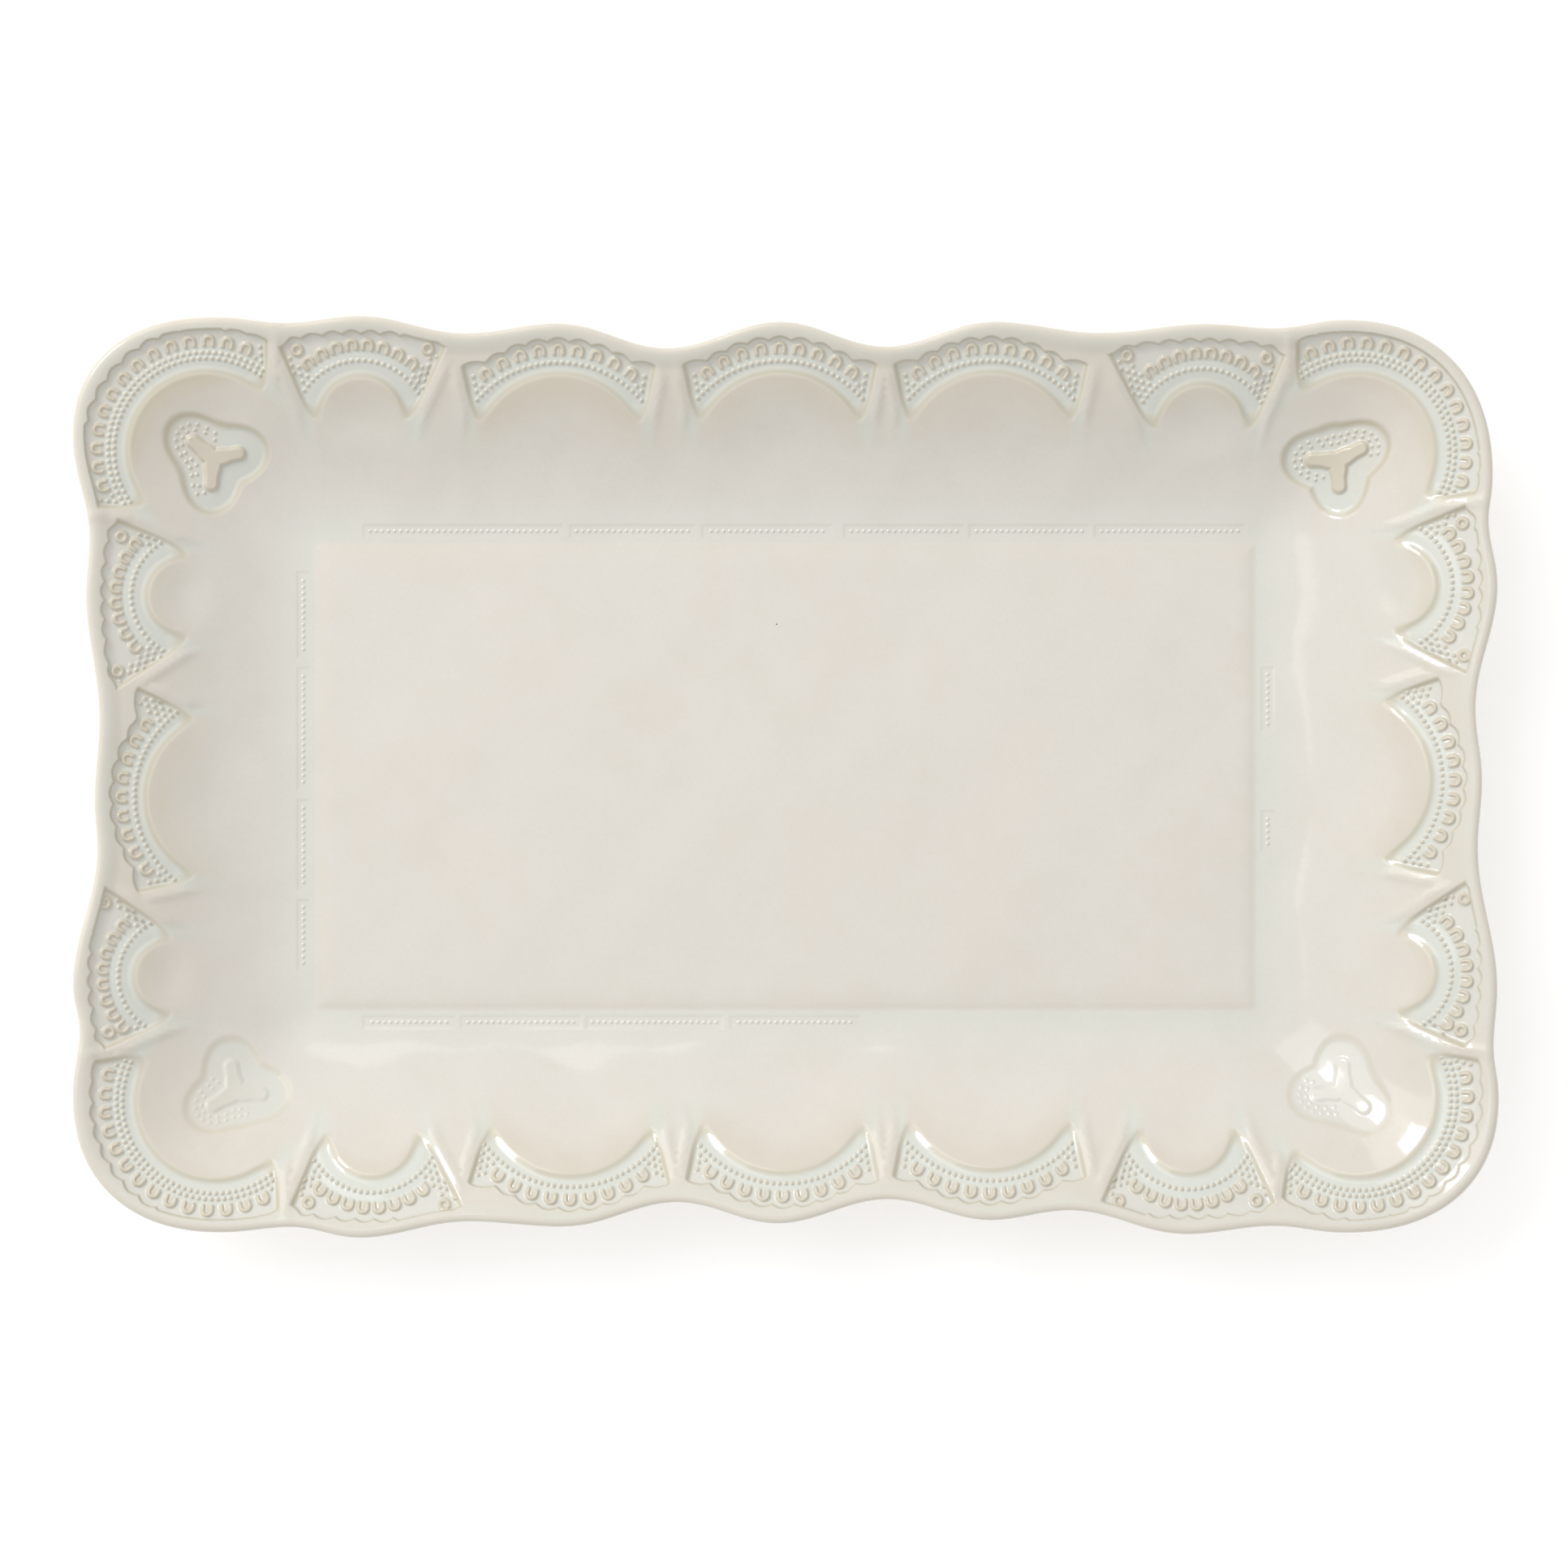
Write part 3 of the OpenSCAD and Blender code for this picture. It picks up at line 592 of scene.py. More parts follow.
def fan_relief(fan, x, y):
    """Rise above the plain surface, and the shares of hollow, pooled glaze and raised lace of a fan.

    The fan is a recess between the soft shoulder of its arc, its scalloped outer edge and its two
    cheeks. A row of horseshoe loops, rings in the outer corners and the beads stand up in it.
    """
    r, a = polar(fan, x, y)
    low, high = fan["ends"]
    arc = arc_edge(fan, a)
    shoulder = smooth(r - arc, -2.6, 1.2)
    step = smooth(np.minimum(outer_edge(fan, a) - r, lip_distance(x, y) - LIP_CLEAR), -0.1, 0.75)
    side = smooth(cheek_gap(fan, r, a), -0.1, 2.4)
    limit = np.where(a < 0, low.tip_a, high.tip_a)
    tip = smooth((limit - np.abs(a)) * math.pi / 180 * r, -1.0, 8.0)
    hollow = shoulder * step * side * (0.1 + 0.9 * tip) * smooth(tip, 0, 0.2)
    middle_r = fan["arc_r"] + fan["loop_out"]
    pitch = loop_pitch(fan)
    middle = loops_middle(fan)
    # u and v run across and out along the nearest loop.
    number = np.clip(np.round((a - middle) / pitch + (fan["loops"] - 1) / 2), 0, fan["loops"] - 1)
    centre_a = (number - (fan["loops"] - 1) / 2) * pitch + middle
    u = (a - centre_a) * math.pi / 180 * middle_r
    v = r - middle_r - 0.3
    arch = np.where(v > 0, np.abs(np.hypot(u, v) - LOOP_R),
                    np.hypot(np.abs(u) - LOOP_R, np.maximum(-v - LOOP_LEG, 0)))
    for ring_r, ring_a in corner_rings(fan):
        across, up = spot_at(ring_r, fan["outward"] + ring_a)
        ring = np.hypot(x - fan["centre"][0] - across, y - fan["centre"][1] - up)
        arch = np.minimum(arch, np.abs(ring - LOOP_R))
    loops = size("loop_h") * bump(arch, LOOP_WIRE)
    dent = size("loop_h") * 0.35 * bump(np.hypot(u, np.minimum(v + 1.0, 0) + np.maximum(v, 0)), 1.5)
    bead_r, bead_a = fan_beads(fan["name"])
    turn = np.radians(bead_a + fan["outward"])
    spots = np.column_stack([bead_r * np.cos(turn), bead_r * np.sin(turn)]) + fan["centre"]
    beads = size("bead_h") * bump(nearest(x, y, spots), BEAD_R)
    raised = np.maximum(np.maximum(loops, dent), beads) * smooth(hollow, 0.3, 0.85)
    depth = size("recess") * (0.8 + 0.4 * smooth(r - arc, 2.5, 8.0))
    field = 1 - 0.5 * smooth(r - middle_r, -2.0, 2.5) * smooth(tip, 0.5, 1.0)
    return -depth * hollow + raised, hollow, hollow * field, raised


def nearest(x, y, spots):
    """Distance to the nearest of a list of spots."""
    flat = np.column_stack([np.ravel(x), np.ravel(y)])
    best = np.full(len(flat), 1e9)
    for sx, sy in spots:
        best = np.minimum(best, (flat[:, 0] - sx)**2 + (flat[:, 1] - sy)**2)
    return np.sqrt(best).reshape(np.shape(x))


@lru_cache
def trefoils():
    """Every trefoil with its name."""
    return [dict(made, name=f"trefoil_{i}", outward=0.0, centre=np.array(made["centre"]))
            for i, made in enumerate(TREFOILS, 1)]


def trefoil_edge(trefoil, a, inset=0.0):
    """Radius of a trefoil's rim, with a lobe round the end of each arm."""
    lobes = [bump(np.abs((a - arm + 180) % 360 - 180), LOBE_SPAN) for arm in trefoil["arms"]]
    return TREFOIL_R + TREFOIL_LOBE * np.max(lobes, axis=0) - inset


def trefoil_relief(trefoil, x, y):
    """Rise, and the shares of hollow, pooled glaze and raised lace of a trefoil.

    It has a raised island of three arms, two rows of beads along part of its rim, and glaze that pools
    on the side toward the platter's middle.
    """
    r, a = polar(trefoil, x, y)
    hollow = smooth((trefoil_edge(trefoil, a) - r) * 0.8, -2.4, 0.6)
    arm = np.full(np.shape(x), 99.0)
    for heading in np.radians(trefoil["arms"]):
        dx, dy = x - trefoil["centre"][0], y - trefoil["centre"][1]
        u = dx * math.cos(heading) + dy * math.sin(heading)
        v = np.abs(dy * math.cos(heading) - dx * math.sin(heading))
        arm = np.minimum(arm, np.hypot(u - np.clip(u, 0, ARM_LENGTH), v) - 0.6 * smooth(u, 6.0, 2.0))
    island = size("recess") * 0.75 * (1 - smooth(arm, ARM_HALF_W, 3.0))
    spots = []
    start, stop = trefoil["beads"]
    for inset in (2.1, 4.2):
        heading = start
        while heading < stop:
            edge = trefoil_edge(trefoil, heading, inset)
            spots.append((edge, heading))
            heading += math.degrees(CLUSTER_PITCH / edge)
    bead_r, heading = np.array(spots).T
    heading = np.radians(heading)
    places = np.column_stack([bead_r * np.cos(heading), bead_r * np.sin(heading)]) + trefoil["centre"]
    beads = 0.5 * size("bead_h") * bump(nearest(x, y, places), 0.95)
    raised = np.maximum(island, beads) * smooth(hollow, 0.5, 0.95)
    home = -trefoil["centre"] / np.linalg.norm(trefoil["centre"])
    toward = (x - trefoil["centre"][0]) * home[0] + (y - trefoil["centre"][1]) * home[1]
    pool = 0.9 * hollow * (0.35 + 0.65 * smooth(toward, -9, 4))
    depth = trefoil["depth"]
    rise = depth * (raised - 0.7 * size("recess") * hollow)
    return rise, min(0.9, depth) * hollow, min(1.0, 0.4 + 0.6 * depth) * pool, depth**2 * raised


def strip_relief(strip, x, y):
    """Rise, and the shares of hollow, pooled glaze and raised beads of a straight strip."""
    dx, dy = np.abs(x - strip["centre"][0]), np.abs(y - strip["centre"][1])
    edge = np.minimum(strip["half"][0] - dx, strip["half"][1] - dy)
    hollow = smooth(edge, -0.6, 0.8)
    beads = 0.34 * bump(nearest(x, y, strip["spots"]), 0.8) * hollow
    return -0.14 * hollow + beads, 0.3 * hollow, 0.6 * hollow, beads


@lru_cache
def strips():
    """Every bead strip, from the box of its plain slab."""
    made = []
    for side, count in STRIP_COUNTS.items():
        for number in range(1, count + 1):
            name = f"bead_{side}_{number}"
            low, high = box_mm(name)
            centre, half = (low[:2] + high[:2]) / 2, (high[:2] - low[:2]) / 2
            along = int(np.argmax(half))
            beads = max(1, int(2 * half[along] / BEAD_PITCH) - 1)
            spots = np.tile(centre, (beads, 1))
            spots[:, along] += (np.arange(beads) - (beads - 1) / 2) * BEAD_PITCH
            made.append(dict(name=name, centre=centre, half=half, spots=spots))
    return made


# ------------------------------------------------------------------ meshes


def fan_grid(fan):
    """Grid points of a fan, a little past its edges: columns by angle, rows by radius."""
    spacing = size("relief_step")
    margin = 0.3
    low_a, high_a = -fan["ends"][0].tip_a - 1, fan["ends"][1].tip_a + 1
    columns = int(math.radians(high_a - low_a) * (fan["arc_r"] + 6) / spacing)
    rows = int((fan["outer_r"] - fan["arc_r"] + 4) / spacing)
    a = np.linspace(low_a, high_a, columns)
    inner = arc_edge(fan, a) - 2.9
    outer = outer_edge(fan, a, 0) + margin
    for end, sign in zip(fan["ends"], (-1, 1)):
        shoulder, run = cheek_line(end)
        away = np.array([-run[1], run[0]])
        away *= np.sign(away[1])
        base = shoulder + margin * away
        b = np.radians(sign * a)
        reach = (base @ away) / np.maximum(np.cos(b) * away[0] + np.sin(b) * away[1], 1e-6)
        beyond = (sign * a > 0) & (reach > 0)
        outer = np.where(beyond, np.minimum(outer, reach), outer)
    outer = np.maximum(outer, inner + 1.2)
    turn = np.radians(a + fan["outward"])
    for _ in range(4):
        d = lip_distance(fan["centre"][0] + outer * np.cos(turn), fan["centre"][1] + outer * np.sin(turn))
        outer -= 1.1 * np.maximum(LIP_CLEAR - 0.6 - d, 0)
    share = np.linspace(0, 1, rows)
    r = inner[:, None] + (outer - inner)[:, None] * share[None, :]
    turn = turn[:, None]
    return fan["centre"][0] + r * np.cos(turn), fan["centre"][1] + r * np.sin(turn)


def trefoil_grid(trefoil):
    """Grid points of a trefoil: columns by angle round it, rows from its middle."""
    a = np.linspace(0, 360, 420, endpoint=False)
    r = (trefoil_edge(trefoil, a) + 3.4)[:, None] * np.linspace(0.004, 1, 80)[None, :]
    turn = np.radians(a + trefoil["outward"])[:, None]
    return trefoil["centre"][0] + r * np.cos(turn), trefoil["centre"][1] + r * np.sin(turn)


def strip_grid(strip):
    """Grid points of a strip, a little past its edges."""
    spacing = size("relief_step")
    reach = strip["half"] + 0.6
    x, y = (np.linspace(-half, half, max(4, int(2 * half / spacing))) for half in reach)
    gx, gy = np.meshgrid(x, y, indexing="ij")
    return strip["centre"][0] + gx, strip["centre"][1] + gy


@lru_cache
def panels():
    """Every pressed panel, with its grid, its boundary loop and its relief."""
    made = {}
    groups = ((fans(), fan_grid, fan_relief), (trefoils(), trefoil_grid, trefoil_relief),
              (strips(), strip_grid, strip_relief))
    for items, grid, relief in groups:
        for item in items:
            x, y = grid(item)
            ni, nk = x.shape
            index = np.arange(ni * nk).reshape(ni, nk)
            if grid is trefoil_grid:
                rim = index[:, -1]
            else:
                rim = np.concatenate([index[:-1, 0], index[-1, :-1], index[:0:-1, -1], index[0, :0:-1]])
            loop = np.column_stack([x.ravel()[rim], y.ravel()[rim]])
            if area(loop) < 0:
                rim, loop = rim[::-1], loop[::-1]
            made[item["name"]] = dict(x=x, y=y, rim=rim, loop=loop, closed=grid is trefoil_grid,
                                      relief=lambda x, y, item=item, relief=relief: relief(item, x, y))
    return made


def area(loop):
    """Area inside a closed loop, negative if it runs clockwise."""
    x, y = loop.T
    return 0.5 * np.sum(x * np.roll(y, -1) - np.roll(x, -1) * y)


def inside(loop, x, y):
    """Which points lie inside a closed loop."""
    hit = np.zeros(len(x), bool)
    near = np.flatnonzero((x > loop[:, 0].min()) & (x < loop[:, 0].max())
                          & (y > loop[:, 1].min()) & (y < loop[:, 1].max()))
    for block in np.array_split(near, max(1, len(near) // 2000)):
        px, py = x[block][:, None], y[block][:, None]
        ax, ay = loop[:, 0][None, :], loop[:, 1][None, :]
        bx, by = np.roll(ax, -1), np.roll(ay, -1)
        spans = (ay > py) != (by > py)
        with np.errstate(divide="ignore", invalid="ignore"):
            cut = (bx - ax) * (py - ay) / (by - ay) + ax
        hit[block] = np.sum(spans & (px < cut), axis=1) % 2 == 1
    return hit


def body_points(crest):
    """Points of the upper surface between the panels: along the lip, round the floor and in between."""
    edge, inward = lip_edge()
    extra = [edge + d * inward for d in (3.2, 4.0, 5.0, 6.2, 7.6)]
    half_len, half_wid = plan()["floor_len"] / 2, plan()["floor_wid"] / 2
    for out in (-0.6, -0.1, 0.4, 0.9, 1.5, 2.4):
        a, b = half_len + out, half_wid + out
        x, y = np.arange(-a, a, 1.2), np.arange(-b, b, 1.2)
        extra += [np.column_stack([x, np.full(len(x), s * b)]) for s in (-1, 1)]
        extra += [np.column_stack([np.full(len(y), s * a), y]) for s in (-1, 1)]
    wide = max(plan()["length"], plan()["width"])
    for spacing, low, high in ((5.0, -wide, -2.5), (2.4, 3.4, 30), (1.5, 30, wide)):
        gx, gy = np.meshgrid(np.arange(-plan()["length"] / 2, plan()["length"] / 2, spacing),
                             np.arange(-plan()["width"] / 2, plan()["width"] / 2, spacing * 0.87),
                             indexing="ij")
        gx = gx + spacing / 2 * (np.arange(gx.shape[1]) % 2)[None, :]
        gx, gy = gx.ravel(), gy.ravel()
        gap = floor_gap(gx, gy)
        kept = inside(crest, gx, gy) & (lip_distance(gx, gy) > 8.8) & (gap >= low) & (gap < high)
        extra.append(np.column_stack([gx[kept], gy[kept]]))
    return np.concatenate(extra)


@lru_cache
def upper_plan():
    """Triangles of the upper surface inside the lip's crest, and those under each panel."""
    edge, inward = lip_edge()
    crest = edge + LIP_CREST * inward
    points = [crest]
    links = [(i, (i + 1) % len(crest)) for i in range(len(crest))]
    count = len(crest)
    loops = {}
    for name, panel in panels().items():
        loop = panel["loop"]
        loops[name] = (count, count + len(loop))
        links += [(count + i, count + (i + 1) % len(loop)) for i in range(len(loop))]
        points.append(loop)
        count += len(loop)
    extra = body_points(crest)
    clear = inside(crest, *extra.T)
    for name, panel in panels().items():
        clear &= ~inside(panel["loop"], *extra.T)
    points.append(extra[clear])
    flat = np.concatenate(points)
    result = delaunay_2d_cdt([Vector(p) for p in flat], links, [], 0, 1e-5)
    if not all(result[3]):
        raise RuntimeError("two relief panels cross")
    order = np.array([first[0] for first in result[3]])
    triangles = order[np.array(result[2])]
    middle = flat[triangles].mean(axis=1)
    triangles = triangles[inside(crest, *middle.T)]
    middle = flat[triangles].mean(axis=1)
    pockets = {}
    free = np.ones(len(triangles), bool)
    for name, panel in panels().items():
        held = inside(panel["loop"], *middle.T)
        pockets[name] = triangles[held] - loops[name][0]
        free &= ~held
    return flat, triangles[free], loops, pockets


def make_mesh(name, points, triangles, normals, thin, pool):
    """A mesh in metres with smooth normals and the glaze's two attributes."""
    mesh = bpy.data.meshes.new(name)
    points, triangles = np.asarray(points) * MM, np.asarray(triangles, dtype=np.int32)
    mesh.vertices.add(len(points))
    mesh.vertices.foreach_set("co", points.astype(np.float32).ravel())
    mesh.loops.add(3 * len(triangles))
    mesh.loops.foreach_set("vertex_index", triangles.ravel())
    mesh.polygons.add(len(triangles))
    mesh.polygons.foreach_set("loop_start", np.arange(0, 3 * len(triangles), 3, dtype=np.int32))
    mesh.polygons.foreach_set("use_smooth", np.ones(len(triangles), bool))
    mesh.update(calc_edges=True)
    if mesh.validate():
        raise RuntimeError(f"the mesh of {name} had faults")
    for label, values in (("thin", thin), ("pool", pool)):
        mesh.attributes.new(label, "FLOAT", "POINT").data.foreach_set("value", values.astype(np.float32))
    mesh.normals_split_custom_set_from_vertices(normals.tolist())
    piece = bpy.data.objects.new(name, mesh)
    bpy.context.scene.collection.objects.link(piece)
    return piece


def face_normals(points, triangles):
    """Area-weighted normals at the points."""
    a, b, c = (points[triangles[:, i]] for i in range(3))
    face = np.cross(b - a, c - a)
    normals = np.zeros_like(points)
    for i in range(3):
        np.add.at(normals, triangles[:, i], face)
    return normals / np.maximum(np.linalg.norm(normals, axis=1), 1e-12)[:, None]


def bands(first, second):
    """Triangles between two closed rings of point numbers."""
    a, b = first, np.roll(first, -1)
    c, d = second, np.roll(second, -1)
    return np.concatenate([np.column_stack([a, b, d]), np.column_stack([a, d, c])])


def steepness(x, y):
    """Slope of the wall straight up it."""
    p = plan()
    t = np.minimum(wall_share(x, y), 1)
    rise = (p["slope_top"] - p["floor_z"]) / p["side_run"]
    return rise * (2 * (1 + WALL_FLARE) * t - 3 * WALL_FLARE * t**2)


def under_z(x, y):
    """Height of the underside of the wall, easing into the flat base."""
    drop = slope_z(x, y) - size("wall") * np.sqrt(1 + steepness(x, y)**2)
    base, soft = plan()["foot_h"], 0.6
    return base + soft * np.logaddexp(0, (drop - base) / soft)


def lip_and_underside(crest):
    """Rings of points from the lip's crest round its roll, under the wall and in to the base."""
    edge, inward = lip_edge()
    p = plan()
    middle_z = size("lip_rise") - LIP_HALF_H
    drop = crest[:, 2] - slope_z(crest[:, 0], crest[:, 1]) - size("lip_rise")
    rings = []
    for angle in np.radians(np.linspace(90, -78, 15)[1:]):
        ring = edge + LIP_CREST * (1 - math.cos(angle)) * inward
        lift = middle_z + LIP_HALF_H * math.sin(angle)
        rings.append(np.column_stack([ring, slope_z(*ring.T) + lift + drop]))
    hub = np.column_stack([np.clip(edge[:, 0], -p["floor_len"] / 2, p["floor_len"] / 2),
                           np.clip(edge[:, 1], -p["floor_wid"] / 2, p["floor_wid"] / 2)])
    for share in np.linspace(0.93, 0.1, 13):
        ring = hub + (edge - hub) * share
        ease = smooth(share, 0.6, 0.95)
        rings.append(np.column_stack([ring, under_z(*ring.T) + ease * 0.3 * drop]))
    rings[-1][:, 2] = p["foot_h"]
    return rings


def build_body():
    """The glazed body: upper surface, rolled lip, underside and a pocket under each panel."""
    # Points are added part by part; count is the number of those so far.
    flat, triangles, loops, pockets = upper_plan()
    x, y = flat.T
    points = [np.column_stack([x, y, surface_z(x, y)])]
    normals_top = tilt(surface_z, x, y)
    thin_top, pool_top = surface_glaze(x, y)
    faces = [triangles]
    count = len(flat)
    for name, (start, stop) in loops.items():
        rim = np.arange(start, stop)
        low = points[0][rim] - [0, 0, POCKET]
        points.append(low)
        down = np.arange(count, count + len(rim))
        faces.append(bands(down, rim)[:, ::-1])
        faces.append(pockets[name] + count)
        count += len(rim)
    pockets_end = count
    stations = len(lip_edge()[0])
    previous = np.arange(stations)
    for ring in lip_and_underside(points[0][:stations]):
        points.append(ring)
        now = np.arange(count, count + stations)
        faces.append(bands(previous, now)[:, ::-1])
        previous = now
        count += stations
    points.append(np.array([[0, 0, plan()["foot_h"]]]))
    faces.append(np.column_stack([previous, np.roll(previous, -1), np.full(stations, count)])[:, ::-1])
    points = np.concatenate(points)
    faces = np.concatenate(faces)
    normals = face_normals(points, faces)
    normals[:len(flat)] = normals_top
    thin = np.zeros(len(points))
    pool = np.zeros(len(points))
    thin[:len(flat)], pool[:len(flat)] = thin_top, pool_top
    thin[pockets_end:] = UNDER_THIN
    body = make_mesh("glazed_body", points, faces, normals, thin, pool)
    body.data.materials.append(glaze_material())
    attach(body, "root")
    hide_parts("platter_body")
    return body


def build_panel(name):
    """One pressed panel, closed below, that fills its pocket in the body."""
    panel = panels()[name]
    x, y = panel["x"].ravel(), panel["y"].ravel()
    rise, hollow, wet, raised = panel["relief"](x, y)
    z = surface_z(x, y) + rise
    rim = panel["rim"]
    z[rim] = surface_z(x[rim], y[rim])

    def height(px, py):
        return surface_z(px, py) + panel["relief"](px, py)[0]

    normals_top = tilt(height, x, y)
    normals_top[rim] = tilt(surface_z, x[rim], y[rim])
    thin, pool = surface_glaze(x, y)
    lift = smooth(raised, 0.1, 0.5)
    share = hollow / hollow.max()
    # The brow peaks on the recesses' steep edges. It gives them beige thin glaze, and past a share of 0.8
    # it also gives them a brown painted shade.
    brow = 4 * share * (1 - share) * hollow.max()
    thin = np.clip(np.maximum(np.maximum(thin * (1 - hollow), 0.78 * lift), 1.25 * brow), 0, 1.3)
    pool = np.clip(np.maximum(pool * (1 - hollow), wet) * (1 - 0.9 * lift), 0, 1)
    ni, nk = panel["x"].shape
    index = np.arange(ni * nk).reshape(ni, nk)
    wrap = np.concatenate([index, index[:1]]) if panel["closed"] else index
    a, b = wrap[:-1, :-1].ravel(), wrap[1:, :-1].ravel()
    c, d = wrap[1:, 1:].ravel(), wrap[:-1, 1:].ravel()
    faces = np.concatenate([np.column_stack([a, b, c]), np.column_stack([a, c, d])])
    points = np.column_stack([x, y, z])
    if face_normals(points, faces[:1])[faces[0, 0], 2] < 0:
        faces = faces[:, ::-1]
    if panel["closed"]:
        hub = len(points)
        points = np.vstack([points, points[index[:, 0]].mean(axis=0)])
        cap = np.column_stack([index[:, 0], np.roll(index[:, 0], -1), np.full(ni, hub)])
        faces = np.vstack([faces, cap])
        normals_top = np.vstack([normals_top, normals_top[index[0, 0]]])
        thin, pool = np.append(thin, thin[index[0, 0]]), np.append(pool, pool[index[0, 0]])
    low = points[rim] - [0, 0, POCKET - 0.05]
    base = len(points)
    down = np.arange(base, base + len(rim))
    pocket = upper_plan()[3][name]
    points = np.vstack([points, low])
    faces = np.vstack([faces, bands(rim, down)[:, ::-1], (pocket + base)[:, ::-1]])
    normals = face_normals(points, faces)
    normals[:base] = normals_top
    extra = np.zeros(len(rim))
    thin, pool = np.append(thin, extra), np.append(pool, extra)
    piece = make_mesh(name + "_glazed", points, faces, normals, thin, pool)
    piece.data.materials.append(glaze_material())
    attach(piece, "root")
    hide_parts(name)
    return piece


def build_foot_ring():
    """The bare foot ring, with rounded edges and a fillet where it meets the base."""
    low, high = box_mm("foot_ring")
    half = (high[:2] - low[:2]) / 2
    height = high[2] - low[2]
    middle_r = FOOT_CORNER - FOOT_W / 2
    reach = half - FOOT_W / 2 - middle_r
    turns, hubs = [], []
    for quarter, (sx, sy) in enumerate(CORNER_SIGNS):
        for turn in np.radians(np.linspace(90 * quarter, 90 * quarter + 90, 25)):
            turns.append((math.cos(turn), math.sin(turn)))
            hubs.append((sx * reach[0], sy * reach[1]))
    turns, hubs = np.array(turns), np.array(hubs)
    flat, round_r = 2.2, 1.1
    section = []
    for side in (-1, 1):
        bottom = [(side * (flat + round_r * math.sin(t)), round_r - round_r * math.cos(t))
                  for t in np.linspace(0, math.pi / 2, 7)]
        top = [(side * (flat + round_r), height - 0.6), (side * FOOT_W / 2, height)]
        section += (bottom + top)[::-1] if side < 0 else bottom + top
    points = np.concatenate([
        np.column_stack([hubs + (middle_r + out) * turns, np.full(len(hubs), z)]) for out, z in section])
    n, m = len(hubs), len(section)
    rings = [np.arange(k * n, (k + 1) * n) for k in range(m)]
    faces = np.concatenate([bands(rings[k], rings[(k + 1) % m]) for k in range(m)])
    normals = face_normals(points, faces)
    grain = np.zeros(len(points))
    ring = make_mesh("bare_foot_ring", points, faces, normals, grain, grain)
    ring.data.materials.append(clay_material())
    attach(ring, "root")
    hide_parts("foot_ring")
    return ring


# ------------------------------------------------------------------ materials


class Value:
    """A shader socket that Python's arithmetic builds Math nodes from."""

    def __init__(self, board, socket):
        self.board = board
        self.socket = socket

    def math(self, operation, *others, flip=False):
        """Adds a Math node on this value and others."""
        terms = [self, *others]
        if flip:
            terms.reverse()
        return self.board.node("ShaderNodeMath", {"operation": operation}, dict(enumerate(terms)))

    def __add__(self, other):
        return self.math("ADD", other)

    def __radd__(self, other):
        return self.math("ADD", other, flip=True)

    def __sub__(self, other):
        return self.math("SUBTRACT", other)

    def __rsub__(self, other):
        return self.math("SUBTRACT", other, flip=True)

    def __mul__(self, other):
        return self.math("MULTIPLY", other)

    def __rmul__(self, other):
        return self.math("MULTIPLY", other, flip=True)

    def __gt__(self, other):
        return self.math("GREATER_THAN", other)

    def __lt__(self, other):
        return self.math("LESS_THAN", other)

    def clamp(self, low=0.0, high=1.0):
        """Keeps the value between two limits."""
        return self.board.node("ShaderNodeClamp", {}, {0: self, 1: low, 2: high})


class Board:
    """A material's node tree, filled one node at a time."""

    def __init__(self, name):
        self.material = bpy.data.materials.new(name)
        self.material.use_nodes = True
        self.tree = self.material.node_tree
        self.tree.nodes.clear()
        self.output = self.tree.nodes.new("ShaderNodeOutputMaterial")

    def node(self, kind, settings=None, inputs=None, output=0):
        """Adds a node, sets its settings and its sockets, and gives one of its outputs."""
        made = self.tree.nodes.new(kind)
        for key, value in (settings or {}).items():
            setattr(made, key, value)
        for key, value in (inputs or {}).items():
            if isinstance(value, Value):
                self.tree.links.new(value.socket, made.inputs[key])
            else:
                made.inputs[key].default_value = value
        return Value(self, made.outputs[output])

    def mix(self, share, first, second):
        """Blends two colours."""
        return self.node("ShaderNodeMix", {"data_type": "RGBA"}, {0: share, 6: first, 7: second}, output=2)

    def noise(self, place, scale, detail=2.0, roughness=0.5):
        """Cloudy noise; scale is per metre."""
        return self.node("ShaderNodeTexNoise", {}, {
            "Vector": place, "Scale": scale, "Detail": detail, "Roughness": roughness})

    def finish(self, shader):
        """Feeds the shader to the output and gives the material."""
        self.tree.links.new(shader.socket, self.output.inputs["Surface"])
        return self.material


